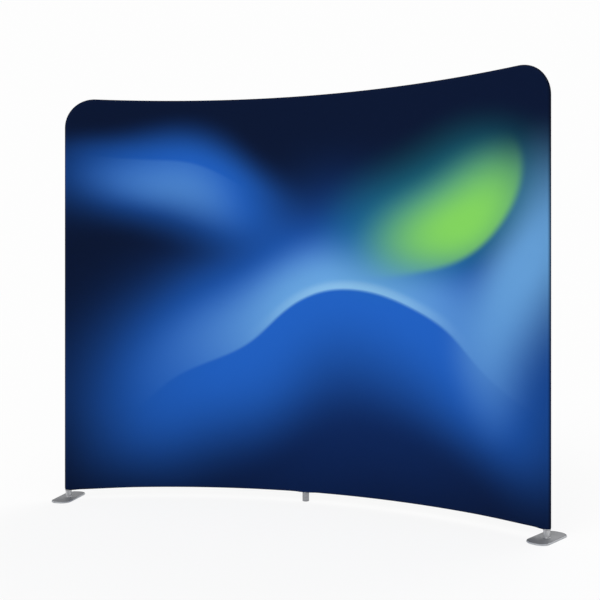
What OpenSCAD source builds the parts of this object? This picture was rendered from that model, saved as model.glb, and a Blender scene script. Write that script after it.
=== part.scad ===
// Curved display wall: a tube frame inside a zipped stretch-fabric cover, on two foot plates and a centre leg.
// Millimetres, +Z up. The origin is on the floor under the centre leg, and the hollow side faces -Y.

/* [Wall] */
// Overall height, floor to the top of the cover
wall_h = 2300; // [1800:10:2600]
// Height of the cover's lower edge above the floor
floor_gap = 51; // [45:1:80]
// Plan radius of the frame, on the tube axes
plan_r = 2600; // [2200:50:4000]
// Half of the angle that the curved part spans in plan
arc_half = 26.3; // [18:0.1:30]
// Straight length between the curved part and each end upright
end_l = 188; // [185:1:260]
// Radius of the top corner bends, on the tube axis
bend_r = 150; // [120:5:150]

/* [Tubes and joints] */
// Outer diameter of the frame tubes
tube_d = 38; // [36:0.5:42]
// Wall of the frame tubes
tube_wall = 1.5; // [1.2:0.1:2]
// Radial play of a spigot in a tube
fit_gap = 0.08; // [0.04:0.01:0.1]
// Wall of the sleeves and spigots
sleeve_wall = 2.4; // [2:0.1:3]
// Length of a spigot or half sleeve inside a tube
joint_l = 45; // [40:1:48]
// Straight leg below each corner bend
bend_leg = 60; // [52:1:90]
// Distance from a joint to its rivet
rivet_off = 22; // [18:1:28]
// Diameter of the rivets
rivet_d = 4; // [3:0.5:5]

/* [Tee fittings] */
// Distance from a tee's centre to its shoulder on the rail side of an end tee
tee_arm = 28; // [26:1:40]
// Half length of a centre tee along the rail
tee_half = 45; // [35:1:60]
// Distance from the rail axis to the shoulder under an upright or post
tee_rise = 30; // [28:1:45]
// How much slimmer the radius of a tee's neck is than the tube
neck_step = 0.5; // [0.3:0.1:1]
// Length of a tee's collar
collar_l = 5; // [3:0.5:6]

/* [Snap buttons] */
// Diameter of a button
button_d = 8; // [6:0.5:9]
// Radial play of a button in its hole
button_gap = 0.1; // [0.05:0.01:0.1]
// How far a button stands out of the tube
button_proud = 3.5; // [2.5:0.1:4]
// Distance from a shoulder or joint to the button
button_off = 24; // [20:1:28]
// Width of the leaf spring that carries a button
leaf_w = 8; // [6:0.5:9]
// Thickness of the leaf spring
leaf_t = 0.8; // [0.6:0.1:1]
// Length of the leaf spring from the button to its turn
leaf_l = 30; // [24:1:32]

/* [Cover] */
// Thickness of the cover's cloth
cloth_t = 1; // [0.8:0.1:1.4]
// Gap between a tube and the cloth round it
cloth_gap = 0.3; // [0.2:0.05:0.5]
// How far the cloth is pulled down round the legs, below its lower edge
apron_drop = 1.2; // [0.6:0.1:2]
// Half length of the cover's flat hem round the centre leg
apron_half = 26; // [24:1:40]
// Height of the zip line above the bottom rail's axis
zip_rise = 16; // [10:1:30]
// Visible width of the zip tape
zip_w = 7; // [6:0.5:10]
// Width of the zip chain
chain_w = 3.2; // [2.4:0.1:4]
// Height of the zip chain on its tape
chain_t = 1.4; // [1:0.1:1.8]

/* [Zip slider] */
// Length of the zip slider along the chain
slider_l = 12; // [9:0.5:16]
// Width of the zip slider
slider_w = 8.5; // [7.5:0.5:12]
// Thickness of the zip slider over its channel
slider_t = 2.6; // [2.2:0.1:3.2]
// Play between the slider and the chain or tape
slider_gap = 0.2; // [0.1:0.05:0.3]
// Diameter of the pull's pin
pull_pin_d = 1.6; // [1.2:0.1:2]
// Radial play of the pull on its pin
pull_gap = 0.08; // [0.04:0.01:0.1]
// Length of the pull below its pin
pull_l = 24; // [18:1:28]
// Width of the pull
pull_w = 5; // [4:0.5:6]
// Thickness of the pull's tab
pull_t = 1.2; // [1:0.1:1.5]

/* [Feet] */
// Length of a foot plate, square to the wall
plate_l = 260; // [220:5:360]
// Width of a foot plate, along the wall
plate_w = 115; // [110:5:180]
// Thickness of a foot plate
plate_t = 8; // [6:0.5:10]
// Corner radius of a foot plate
plate_corner_r = 50; // [30:1:54]
// Radius of a foot plate's top edge
plate_edge_r = 4; // [2:0.5:5]
// Turn of the left foot plate out of square with the wall
left_foot_turn = 20; // [-30:1:30]
// Diameter of a foot post at the plate
post_low_d = 30; // [26:0.5:34]
// Diameter of a foot post just under the cover
post_top_d = 35; // [32:0.5:35.5]
// Length of a foot post's spigot in the end tee
foot_spigot_l = 44; // [36:1:45]
// Diameter of the rubber pads
pad_d = 22; // [16:1:28]
// Thickness of the rubber pads
pad_t = 2; // [1.5:0.5:3]
// How far the pads stand out below the plate
pad_proud = 1; // [0.5:0.1:1.2]
// Distance from the plate's edges to the pad centres
pad_inset = 30; // [26:1:45]
// Diameter of the foot screw
screw_d = 8; // [6:0.5:10]
// Depth of the foot screw in the post
screw_grip = 18; // [12:1:30]

/* [Centre leg] */
// Diameter of the centre leg
leg_d = 37; // [35.5:0.5:37]
// Length of the centre leg's spigot in the tee
leg_spigot_l = 28; // [20:1:30]
// Height of the rubber cap under the leg
cap_h = 5; // [3:0.5:8]
// Length of the cap's stem inside the leg
cap_stem_l = 18; // [12:1:30]
// Wall of the leg round the cap's stem
leg_wall = 3; // [2:0.5:5]

/* [Hidden] */
$fn = 64;
arc_fn = 720;                       // facets in a full turn of the plan arc
eps = 0.5;                          // how far a cutter runs past what it cuts

tube_r = tube_d / 2;
bore_r = tube_r - tube_wall;
spigot_r = bore_r - fit_gap;
sleeve_in = spigot_r - sleeve_wall;
neck_r = tube_r - neck_step;

cloth_in = tube_r + cloth_gap;
cloth_out = cloth_in + cloth_t;
rail_z = floor_gap + cloth_out;     // axis of the bottom rails
top_z = wall_h - cloth_out;         // axis of the top rails
apron_z = floor_gap - apron_drop;   // underside of the hem round the legs
tee_low_z = apron_z + cloth_t + cloth_gap;
tee_top_z = rail_z + tee_rise;      // shoulder under the uprights and the centre post
post_top_z = top_z - tee_rise;      // shoulder over the centre post
bend_z = top_z - bend_r;            // height of the bend's centre
upright_top_z = bend_z - bend_leg;
upright_mid_z = (tee_top_z + upright_top_z) / 2;
post_mid_z = (tee_top_z + post_top_z) / 2;
bend_run = end_l - bend_r;          // straight run of a corner bend along the top
corner_l = tee_arm - 2;             // flat hem round a foot post, inward from its axis
apron_phi = degrees_along(apron_half);
gusset_phi = degrees_along(apron_half - cloth_t);
seam_lap = 0.02;                    // degrees by which the cover's halves overlap at the middle

hole_r = button_d / 2 + button_gap;
button_travel = button_proud + tube_wall;
leaf_clear = 0.2;                   // play between the leaf and the bore
leaf_z = sqrt(pow(sleeve_in, 2) - pow(leaf_w / 2, 2)) - leaf_clear;
leaf_turn_r = 3.8;                  // outer radius of the leaf's turn
leaf_tail = 6;                      // leaf past the button
leaf_free = leaf_z - button_travel - 0.3;
button_edge = 1;                    // bevel round the button's top
rivet_gap = 0.05;
rivet_head_r = rivet_d;
rivet_head_t = 1.2;
rivet_tail_t = 0.8;

zip_z = rail_z + zip_rise;
zip_low = zip_z - zip_w / 2;
zip_high = zip_z + zip_w / 2;
chain_out = cloth_out + chain_t;
slider_phi = arc_half - degrees_along(slider_l);
slider_base = cloth_out + slider_gap;
slider_top = slider_base + slider_t;
lug_t = 1.4;                        // thickness of the slider's two lugs
lug_r = 1.6;                        // radius round the pull's pin
lug_gap = 0.2;                      // side play of the pull between the lugs
pin_u = slider_top + lug_r + 0.4;   // depth of the pull's pin behind the rail axis
eye_r = pull_pin_d / 2 + pull_gap + 0.8;

foot_side = [-1, 1];
plate_z = pad_proud;
plate_top = plate_z + plate_t;
post_collar_r = neck_r;
post_collar_z = apron_z - 0.7;
hem_hole_r = neck_r + cloth_gap;
spigot_edge = 2;                    // bevel at the end of a spigot
socket_l = foot_spigot_l + 2;
arm_web = 3;                        // wall between a tee's bores
screw_r = screw_d / 2 - 0.05;
screw_bore_r = screw_d / 2;
screw_head_r = screw_d;
screw_head_h = screw_d / 2;
screw_sink = 0.2;                   // how far the head lies inside the plate
screw_tip_gap = 2;
socket_key = 5;                     // width across the screw's hexagon socket
leg_r = leg_d / 2;
leg_socket_l = leg_spigot_l + 2;
cap_edge_r = 3;
cap_gap = 0.1;

tube_colour = "silver";
cast_colour = "darkgray";
steel_colour = "lightsteelblue";
plate_colour = "gray";
rubber_colour = "dimgray";
print_colour = "royalblue";
back_colour = "midnightblue";
zip_colour = "black";

// ---------------------------------------------------------------- places

// Angle in plan that an arc length spans on the tube axes, to a hundredth of a degree
function degrees_along(length) = round(length / plan_r * 180 / PI * 100) / 100;

// Frame on the plan arc at an angle from its middle: X along the wall to the right, Y to the back
module at_plan(phi) {
    translate([0, -plan_r, 0])
        rotate([0, 0, -phi])
            translate([0, plan_r, 0])
                children();
}

// Frame at the right end upright's axis: X away from the wall's middle, Y to the back
module at_end() {
    at_plan(arc_half)
        translate([end_l, 0, 0])
            children();
}

// The left half of the frame mirrors the right half
module on_left() {
    mirror([1, 0, 0]) children();
}

// Sweep of a profile (depth behind the tube axis, height) along the plan arc
module along_arc(from_phi, to_phi) {
    translate([0, -plan_r, 0])
        rotate_extrude(start = 90 - to_phi, angle = to_phi - from_phi, $fn = arc_fn)
            translate([plan_r, 0])
                children();
}

// The same sweep in the frame of the right end, so that it runs on into the straight part
module along_right_arc(from_phi, to_phi) {
    at_plan(arc_half)
        translate([0, -plan_r, 0])
            rotate_extrude(start = 90 + arc_half - to_phi, angle = to_phi - from_phi, $fn = arc_fn)
                translate([plan_r, 0])
                    children();
}

// Sweep of the same profile along the straight end, from_x and to_x measured from the upright's axis
module along_end(from_x, to_x) {
    at_end()
        translate([from_x, 0, 0])
            rotate([90, 0, 90])
                linear_extrude(to_x - from_x)
                    children();
}

// Button and rivet frames: X along the tube, Z out through the wall to the inside of the frame
module at_upright(z) {
    at_end() translate([0, 0, z]) rotate([0, -90, 0]) children();
}

module at_top_arc(length) {
    at_plan(degrees_along(length)) translate([0, 0, top_z]) rotate([180, 0, 0]) children();
}

module at_bottom_arc(length) {
    at_plan(degrees_along(length)) translate([0, 0, rail_z]) children();
}

module at_arm(x) {
    at_end() translate([-x, 0, rail_z]) rotate([0, 0, 180]) children();
}

module at_bend_run(x) {
    at_end() translate([-x, 0, top_z]) rotate([180, 0, 0]) children();
}

module at_post(z) {
    translate([0, 0, z]) rotate([0, 90, 0]) children();
}

rail_joint = arc_half * PI / 180 * plan_r;  // arc length from the middle to the end of the curve
base_button_z = tee_top_z + button_off;
upright_button_z = upright_mid_z + button_off;
bend_button_z = upright_top_z + button_off;
tee_button = tee_half + button_off;

// ---------------------------------------------------------------- tubes

module ring(outer, inner) {
    difference() {
        circle(outer);
        circle(inner);
    }
}

module tube_ring() {
    ring(tube_r, bore_r);
}

module sleeve_ring() {
    ring(spigot_r, sleeve_in);
}

module button_hole() {
    cylinder(r = hole_r, h = tube_r + eps);
}

module rivet_hole() {
    cylinder(r = rivet_d / 2 + rivet_gap, h = tube_r + eps);
}

module upright_lower() {
    color(tube_colour) difference() {
        at_end() translate([0, 0, tee_top_z]) linear_extrude(upright_mid_z - tee_top_z) tube_ring();
        at_upright(base_button_z) button_hole();
        at_upright(upright_mid_z - rivet_off) rivet_hole();
    }
}

module upright_upper() {
    color(tube_colour) difference() {
        at_end() translate([0, 0, upright_mid_z]) linear_extrude(upright_top_z - upright_mid_z) tube_ring();
        at_upright(upright_button_z) button_hole();
        at_upright(upright_top_z - rivet_off) rivet_hole();
    }
}

module corner_bend() {
    color(tube_colour) difference() {
        union() {
            at_end() translate([0, 0, upright_top_z]) linear_extrude(bend_leg) tube_ring();
            at_end()
                translate([-bend_r, 0, bend_z])
                    rotate([90, 0, 0])
                        rotate_extrude(angle = 90)
                            translate([bend_r, 0])
                                tube_ring();
            along_end(-end_l, -bend_r) translate([0, top_z]) tube_ring();
        }
        at_upright(bend_button_z) button_hole();
        at_bend_run(end_l - rivet_off) rivet_hole();
    }
}

module top_rail() {
    color(tube_colour) difference() {
        along_right_arc(degrees_along(tee_half), arc_half) translate([0, top_z]) tube_ring();
        at_top_arc(tee_button) button_hole();
        at_top_arc(rail_joint - button_off) button_hole();
    }
}

module bottom_rail() {
    color(tube_colour) difference() {
        union() {
            along_right_arc(degrees_along(tee_half), arc_half) translate([0, rail_z]) tube_ring();
            along_end(-end_l, -tee_arm) translate([0, rail_z]) tube_ring();
        }
        at_bottom_arc(tee_button) button_hole();
        at_arm(tee_arm + button_off) button_hole();
    }
}

module centre_post_lower() {
    color(tube_colour) difference() {
        translate([0, 0, tee_top_z]) linear_extrude(post_mid_z - tee_top_z) tube_ring();
        at_post(post_mid_z - rivet_off) rivet_hole();
    }
}

module centre_post_upper() {
    color(tube_colour) difference() {
        translate([0, 0, post_mid_z]) linear_extrude(post_top_z - post_mid_z) tube_ring();
        at_post(post_mid_z + button_off) button_hole();
    }
}

// ---------------------------------------------------------------- tee fittings

// Turned spigot with a bevelled end, on Z, with its shoulder at the origin
module spigot(length) {
    rotate_extrude()
        polygon([
            [0, 0],
            [spigot_r, 0],
            [spigot_r, length - spigot_edge],
            [spigot_r - spigot_edge / 2, length],
            [0, length]
        ]);
}

module corner_tee() {
    color(cast_colour) difference() {
        union() {
            at_end() translate([0, 0, tee_low_z]) cylinder(r = tube_r, h = tee_top_z - tee_low_z);
            at_end() translate([0, 0, rail_z]) spigot(tee_rise + joint_l);
            along_end(-tee_arm, 0) translate([0, rail_z]) circle(neck_r);
            along_end(-tee_arm, -(tee_arm - collar_l)) translate([0, rail_z]) circle(tube_r);
            at_end() translate([0, 0, rail_z]) rotate([0, -90, 0]) spigot(tee_arm + joint_l);
        }
        at_end() translate([0, 0, tee_low_z - eps]) cylinder(r = bore_r, h = socket_l + eps);
        at_end() translate([0, 0, tee_low_z + socket_l + arm_web])
            cylinder(r = sleeve_in, h = tee_top_z + joint_l);
        along_end(-(tee_arm + joint_l + eps), -(bore_r + arm_web)) translate([0, rail_z]) circle(sleeve_in);
        at_upright(base_button_z) button_hole();
        at_arm(tee_arm + button_off) button_hole();
    }
}

// Body and two curved spigots of a centre tee, at a height
module tee_run(z) {
    body_phi = degrees_along(tee_half);
    end_phi = degrees_along(tee_half + joint_l);
    along_arc(-body_phi, body_phi) translate([0, z]) circle(tube_r);
    along_arc(-end_phi, end_phi) translate([0, z]) circle(spigot_r);
}

module tee_run_bore(z) {
    bore_phi = degrees_along(tee_half + joint_l + eps);
    along_arc(-bore_phi, bore_phi) translate([0, z]) circle(sleeve_in);
}

// Neck, collar and spigot of a centre tee, on Z from the rail axis
module tee_branch() {
    cylinder(r = neck_r, h = tee_rise);
    translate([0, 0, tee_rise - collar_l]) cylinder(r = tube_r, h = collar_l);
    spigot(tee_rise + joint_l);
}

module tee_branch_bore() {
    translate([0, 0, tee_rise - collar_l]) cylinder(r = sleeve_in, h = collar_l + joint_l + eps);
}

module top_centre_tee() {
    color(cast_colour) difference() {
        union() {
            tee_run(top_z);
            translate([0, 0, top_z]) mirror([0, 0, 1]) tee_branch();
        }
        tee_run_bore(top_z);
        translate([0, 0, top_z]) mirror([0, 0, 1]) tee_branch_bore();
        at_top_arc(tee_button) button_hole();
        on_left() at_top_arc(tee_button) button_hole();
    }
}

module bottom_centre_tee() {
    color(cast_colour) difference() {
        union() {
            tee_run(rail_z);
            translate([0, 0, rail_z]) tee_branch();
            translate([0, 0, tee_low_z]) cylinder(r = neck_r, h = rail_z - tee_low_z);
        }
        tee_run_bore(rail_z);
        translate([0, 0, rail_z]) tee_branch_bore();
        translate([0, 0, tee_low_z - eps]) cylinder(r = bore_r, h = leg_socket_l + eps);
        at_bottom_arc(tee_button) button_hole();
        on_left() at_bottom_arc(tee_button) button_hole();
    }
}

// ---------------------------------------------------------------- sleeves and rivets

module upright_sleeve() {
    color(cast_colour) difference() {
        at_end() translate([0, 0, upright_mid_z - joint_l]) linear_extrude(2 * joint_l) sleeve_ring();
        at_upright(upright_button_z) button_hole();
        at_upright(upright_mid_z - rivet_off) rivet_hole();
    }
}

module bend_sleeve() {
    color(cast_colour) difference() {
        at_end() translate([0, 0, upright_top_z - joint_l]) linear_extrude(2 * joint_l) sleeve_ring();
        at_upright(bend_button_z) button_hole();
        at_upright(upright_top_z - rivet_off) rivet_hole();
    }
}

module rail_sleeve() {
    color(cast_colour) difference() {
        union() {
            along_end(-end_l, joint_l - end_l) translate([0, top_z]) sleeve_ring();
            along_right_arc(arc_half - degrees_along(joint_l), arc_half) translate([0, top_z]) sleeve_ring();
        }
        at_bend_run(end_l - rivet_off) rivet_hole();
        at_top_arc(rail_joint - button_off) button_hole();
    }
}

module centre_post_sleeve() {
    color(cast_colour) difference() {
        translate([0, 0, post_mid_z - joint_l]) linear_extrude(2 * joint_l) sleeve_ring();
        at_post(post_mid_z + button_off) button_hole();
        at_post(post_mid_z - rivet_off) rivet_hole();
    }
}

// Rivet through the tube and the sleeve, head on the tube
module rivet() {
    translate([0, 0, sleeve_in]) cylinder(r = rivet_d / 2, h = tube_r - sleeve_in);
    translate([0, 0, tube_r]) cylinder(r1 = rivet_head_r, r2 = rivet_head_r / 2, h = rivet_head_t);
    translate([0, 0, sleeve_in - rivet_tail_t]) cylinder(r = rivet_d / 2, h = rivet_tail_t);
}

module rivets_of_a_side() {
    at_upright(upright_mid_z - rivet_off) rivet();
    at_upright(upright_top_z - rivet_off) rivet();
    at_bend_run(end_l - rivet_off) rivet();
}

module sleeve_rivets() {
    color(steel_colour) {
        rivets_of_a_side();
        on_left() rivets_of_a_side();
        at_post(post_mid_z - rivet_off) rivet();
    }
}

// ---------------------------------------------------------------- snap buttons

// Button on Z with its bent leaf spring along X, which stays clear of the far wall when it is pressed
module snap_button() {
    color(steel_colour) {
        rotate_extrude()
            polygon([
                [0, leaf_z - leaf_t],
                [button_d / 2, leaf_z - leaf_t],
                [button_d / 2, tube_r + button_proud - button_edge],
                [button_d / 2 - button_edge, tube_r + button_proud],
                [0, tube_r + button_proud]
            ]);
        translate([0, leaf_w / 2, 0]) rotate([90, 0, 0]) linear_extrude(leaf_w) leaf_profile();
    }
}

module leaf_profile() {
    turn_z = leaf_z - leaf_turn_r;
    low_z = turn_z - leaf_turn_r;
    translate([-leaf_tail, leaf_z - leaf_t]) square([leaf_tail + leaf_l, leaf_t]);
    translate([leaf_l, turn_z])
        intersection() {
            ring(leaf_turn_r, leaf_turn_r - leaf_t);
            translate([0, -leaf_turn_r]) square(2 * leaf_turn_r);
        }
    polygon([
        [leaf_l, low_z],
        [leaf_l, low_z + leaf_t],
        [-leaf_tail, leaf_t - leaf_free],
        [-leaf_tail, -leaf_free]
    ]);
}

module base_button() {
    at_upright(base_button_z) snap_button();
}

module upright_button() {
    at_upright(upright_button_z) rotate([0, 0, 180]) snap_button();
}

module bend_button() {
    at_upright(bend_button_z) rotate([0, 0, 180]) snap_button();
}

module rail_button() {
    at_top_arc(rail_joint - button_off) snap_button();
}

module arm_button() {
    at_arm(tee_arm + button_off) snap_button();
}

module top_tee_button() {
    at_top_arc(tee_button) snap_button();
}

module bottom_tee_button() {
    at_bottom_arc(tee_button) snap_button();
}

module centre_post_button() {
    at_post(post_mid_z + button_off) snap_button();
}

// ---------------------------------------------------------------- feet

// Cross-section of a plate's rim, with a rounded top edge at its outer end
module rim_profile(run) {
    square([run, plate_t - plate_edge_r]);
    square([run - plate_edge_r, plate_t]);
    translate([run - plate_edge_r, plate_t - plate_edge_r]) circle(plate_edge_r);
}

// Plate with round corners and a rounded top edge, long side on Y
module plate_blank() {
    flat_l = plate_l - 2 * plate_corner_r;
    flat_w = plate_w - 2 * plate_corner_r;
    for (half = [0, 180])
        rotate([0, 0, half]) {
            translate([0, flat_l / 2, 0])
                rotate([90, 0, 0])
                    linear_extrude(flat_l)
                        rim_profile(plate_w / 2);
            translate([-flat_w / 2, flat_l / 2, 0])
                rotate([90, 0, 90])
                    linear_extrude(flat_w)
                        rim_profile(plate_corner_r);
            translate([flat_w / 2, flat_l / 2, 0])
                rotate_extrude(angle = 90)
                    rim_profile(plate_corner_r);
            translate([-flat_w / 2, flat_l / 2, 0])
                rotate([0, 0, 90])
                    rotate_extrude(angle = 90)
                        rim_profile(plate_corner_r);
        }
}

module at_pads() {
    for (sx = foot_side, sy = foot_side)
        translate([sx * (plate_w / 2 - pad_inset), sy * (plate_l / 2 - pad_inset), 0])
            children();
}

module foot_plate() {
    color(plate_colour) difference() {
        translate([0, 0, plate_z]) plate_blank();
        translate([0, 0, plate_z - eps]) cylinder(r = screw_bore_r + 0.2, h = plate_t + 2 * eps);
        translate([0, 0, plate_z])
            cylinder(r1 = screw_head_r + screw_sink, r2 = screw_head_r - screw_head_h, h = screw_head_h + screw_sink);
        at_pads() cylinder(d = pad_d + 2 * cloth_gap, h = pad_t);
    }
}

module foot_post() {
    spigot_top = tee_low_z + foot_spigot_l;
    color(tube_colour) difference() {
        rotate_extrude()
            polygon([
                [0, plate_top],
                [post_low_d / 2, plate_top],
                [post_top_d / 2, post_collar_z],
                [post_collar_r, post_collar_z],
                [post_collar_r, tee_low_z],
                [spigot_r, tee_low_z],
                [spigot_r, spigot_top - spigot_edge],
                [spigot_r - spigot_edge / 2, spigot_top],
                [0, spigot_top]
            ]);
        translate([0, 0, plate_top - eps]) cylinder(r = screw_bore_r, h = screw_grip + screw_tip_gap + eps);
    }
}

module foot_screw() {
    color(steel_colour) difference() {
        union() {
            translate([0, 0, plate_z + screw_sink])
                cylinder(r1 = screw_head_r, r2 = screw_r, h = screw_head_h);
            translate([0, 0, plate_z + screw_sink])
                cylinder(r = screw_r, h = plate_t - screw_sink + screw_grip);
        }
        translate([0, 0, plate_z]) cylinder(d = socket_key, h = screw_head_h, $fn = 6);
    }
}

module foot_pads() {
    color(rubber_colour) at_pads() cylinder(d = pad_d, h = pad_t);
}

module at_right_foot() {
    at_end() children();
}

module at_left_foot() {
    on_left() at_end() rotate([0, 0, left_foot_turn]) children();
}

// ---------------------------------------------------------------- centre leg

module centre_leg() {
    spigot_top = tee_low_z + leg_spigot_l;
    stem_bore_r = leg_r - leg_wall;
    color(tube_colour) difference() {
        rotate_extrude()
            polygon([
                [0, cap_h],
                [leg_r, cap_h],
                [leg_r, tee_low_z],
                [spigot_r, tee_low_z],
                [spigot_r, spigot_top - spigot_edge],
                [spigot_r - spigot_edge / 2, spigot_top],
                [0, spigot_top]
            ]);
        translate([0, 0, cap_h - eps]) cylinder(r = stem_bore_r, h = cap_stem_l + 1 + eps);
    }
}

module centre_leg_cap() {
    stem_r = leg_r - leg_wall - cap_gap;
    color(rubber_colour) {
        rotate_extrude() {
            translate([0, cap_edge_r]) square([leg_r, cap_h - cap_edge_r]);
            square([leg_r - cap_edge_r, cap_h]);
            intersection() {
                translate([leg_r - cap_edge_r, cap_edge_r]) circle(cap_edge_r);
                translate([leg_r - cap_edge_r, 0]) square(cap_edge_r);
            }
        }
        translate([0, 0, cap_h]) cylinder(r = stem_r, h = cap_stem_l);
    }
}

// ---------------------------------------------------------------- cover

// A quarter of the cloth's ring round a tube: side_u -1 is the front and 1 the back, side_z 1 is the top
module cloth_quarter(side_u, side_z) {
    intersection() {
        ring(cloth_out, cloth_in);
        translate([side_u < 0 ? -2 * cloth_out : 0, side_z < 0 ? -2 * cloth_out : 0])
            square(2 * cloth_out);
    }
}

// Upright strip of cloth in the profile, in front of or behind the tubes
module cloth_strip(side_u, low, high) {
    translate([side_u < 0 ? -cloth_out : cloth_in, low]) square([cloth_t, high - low]);
}

// The front panel turns over the top tube
module front_profile() {
    cloth_strip(-1, rail_z, top_z);
    translate([0, top_z]) cloth_quarter(-1, 1);
}

// Below, it turns right round the bottom tube
module wrap_profile() {
    translate([0, rail_z]) cloth_quarter(-1, -1);
    translate([0, rail_z]) cloth_quarter(1, -1);
}

// Behind the bottom tube it runs up to the zip
module flap_profile() {
    cloth_strip(1, rail_z, zip_low);
}

// Round a leg the cloth hangs straight down on both sides, to a flat hem
module apron_profile() {
    cloth_strip(-1, apron_z, rail_z);
    cloth_strip(1, apron_z, rail_z);
    translate([-cloth_out, apron_z]) square([2 * cloth_out, cloth_t]);
}

// Closes a hem at its end, round the wrapped rail
module gusset_profile() {
    difference() {
        translate([-cloth_out, apron_z]) square([2 * cloth_out, rail_z - apron_z]);
        translate([0, rail_z]) circle(cloth_in + cloth_t / 2);
    }
}

module back_profile() {
    cloth_strip(1, zip_high, top_z);
    translate([0, top_z]) cloth_quarter(1, 1);
}

// Panel and edge wrap round the corner bend, in one turn about the bend's centre
module cloth_corner(side_u) {
    at_end()
        translate([-bend_r, 0, bend_z])
            rotate([90, 0, 0])
                rotate_extrude(angle = 90) {
                    translate([0, side_u < 0 ? cloth_in : -cloth_out]) square([bend_r, cloth_t]);
                    translate([bend_r, 0]) cloth_quarter(1, -side_u);
                }
}

// Plan of the panel's end with its turn round the upright
module cloth_end_plan(side_u) {
    translate([-bend_r, side_u < 0 ? -cloth_out : cloth_in]) square([bend_r, cloth_t]);
    cloth_quarter(1, side_u);
}

module hem_hole() {
    translate([0, 0, apron_z - eps]) cylinder(r = hem_hole_r, h = cloth_t + 2 * eps);
}

module fabric_front_half() {
    along_right_arc(-seam_lap, arc_half) front_profile();
    along_right_arc(-seam_lap, arc_half) flap_profile();
    along_right_arc(apron_phi, arc_half) wrap_profile();
    along_right_arc(gusset_phi, apron_phi) gusset_profile();
    along_right_arc(-seam_lap, gusset_phi) apron_profile();
    along_end(-end_l, -bend_r) front_profile();
    along_end(-end_l, 0) flap_profile();
    along_end(-end_l, -corner_l) wrap_profile();
    along_end(-corner_l, cloth_t - corner_l) gusset_profile();
    along_end(cloth_t - corner_l, 0) apron_profile();
    cloth_corner(-1);
    at_end() {
        translate([0, 0, rail_z]) linear_extrude(bend_z - rail_z) cloth_end_plan(-1);
        translate([0, 0, apron_z]) linear_extrude(rail_z - apron_z) cloth_quarter(1, -1);
        translate([0, 0, apron_z]) linear_extrude(zip_low - apron_z) cloth_quarter(1, 1);
        translate([0, 0, apron_z]) linear_extrude(cloth_t) intersection() {
            circle(cloth_out);
            translate([0, -cloth_out]) square(2 * cloth_out);
        }
    }
}

// The side of the middle plane that the right half lies on
module right_side() {
    translate([0, -plan_r, 0]) cube([plan_r, 2 * plan_r, wall_h]);
}

module fabric_front() {
    color(print_colour) difference() {
        union() {
            intersection() {
                fabric_front_half();
                right_side();
            }
            on_left() intersection() {
                fabric_front_half();
                right_side();
            }
        }
        at_end() hem_hole();
        on_left() at_end() hem_hole();
        hem_hole();
    }
}

module fabric_back_half() {
    along_right_arc(-seam_lap, arc_half) back_profile();
    along_end(-end_l, -bend_r) back_profile();
    along_end(-end_l, -bend_r) cloth_strip(1, zip_low, zip_high);
    cloth_corner(1);
    at_end() translate([0, 0, zip_low]) linear_extrude(bend_z - zip_low) cloth_end_plan(1);
}

module fabric_back() {
    color(back_colour) {
        intersection() {
            fabric_back_half();
            right_side();
        }
        on_left() intersection() {
            fabric_back_half();
            right_side();
        }
    }
}

module zip_tape() {
    color(zip_colour) along_arc(-arc_half, arc_half) cloth_strip(1, zip_low, zip_high);
}

module zip_chain() {
    color(zip_colour)
        along_arc(-arc_half, arc_half)
            translate([cloth_out, zip_z - chain_w / 2])
                square([chain_t, chain_w]);
}

// ---------------------------------------------------------------- zip slider

// Frame on the zip line at the slider, Y out of the cover's back
module at_slider() {
    at_plan(slider_phi) translate([0, 0, zip_z]) children();
}

module zip_slider() {
    lug_x = pull_w / 2 + lug_gap;
    color(zip_colour) {
        difference() {
            at_slider()
                translate([-slider_l / 2, slider_base, -slider_w / 2])
                    cube([slider_l, slider_t, slider_w]);
            along_arc(slider_phi - degrees_along(slider_l), slider_phi + degrees_along(slider_l))
                translate([cloth_out, zip_z - chain_w / 2 - slider_gap])
                    square([chain_t + slider_gap, chain_w + 2 * slider_gap]);
        }
        at_slider() {
            for (side = [-1, 1])
                translate([side * (lug_x + lug_t / 2) - lug_t / 2, 0, 0]) {
                    translate([0, pin_u, 0]) rotate([0, 90, 0]) cylinder(r = lug_r, h = lug_t);
                    translate([0, slider_top - 0.5, -lug_r]) cube([lug_t, pin_u - slider_top + 0.5, 2 * lug_r]);
                }
            translate([-lug_x, pin_u, 0]) rotate([0, 90, 0]) cylinder(r = pull_pin_d / 2, h = 2 * lug_x);
        }
    }
}

module zip_pull() {
    tab_top = eye_r / 2;
    color(zip_colour)
        at_slider()
            difference() {
                union() {
                    translate([-pull_w / 2, pin_u, 0]) rotate([0, 90, 0]) cylinder(r = eye_r, h = pull_w);
                    translate([-pull_w / 2, pin_u - pull_t / 2, -pull_l]) cube([pull_w, pull_t, pull_l - tab_top]);
                }
                translate([-pull_w, pin_u, 0])
                    rotate([0, 90, 0])
                        cylinder(r = pull_pin_d / 2 + pull_gap, h = 2 * pull_w);
                translate([0, pin_u + pull_t, -pull_l + pull_w / 2])
                    rotate([90, 0, 0])
                        cylinder(d = pull_w / 2, h = 2 * pull_t);
            }
}

// ---------------------------------------------------------------- sub-parts

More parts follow.
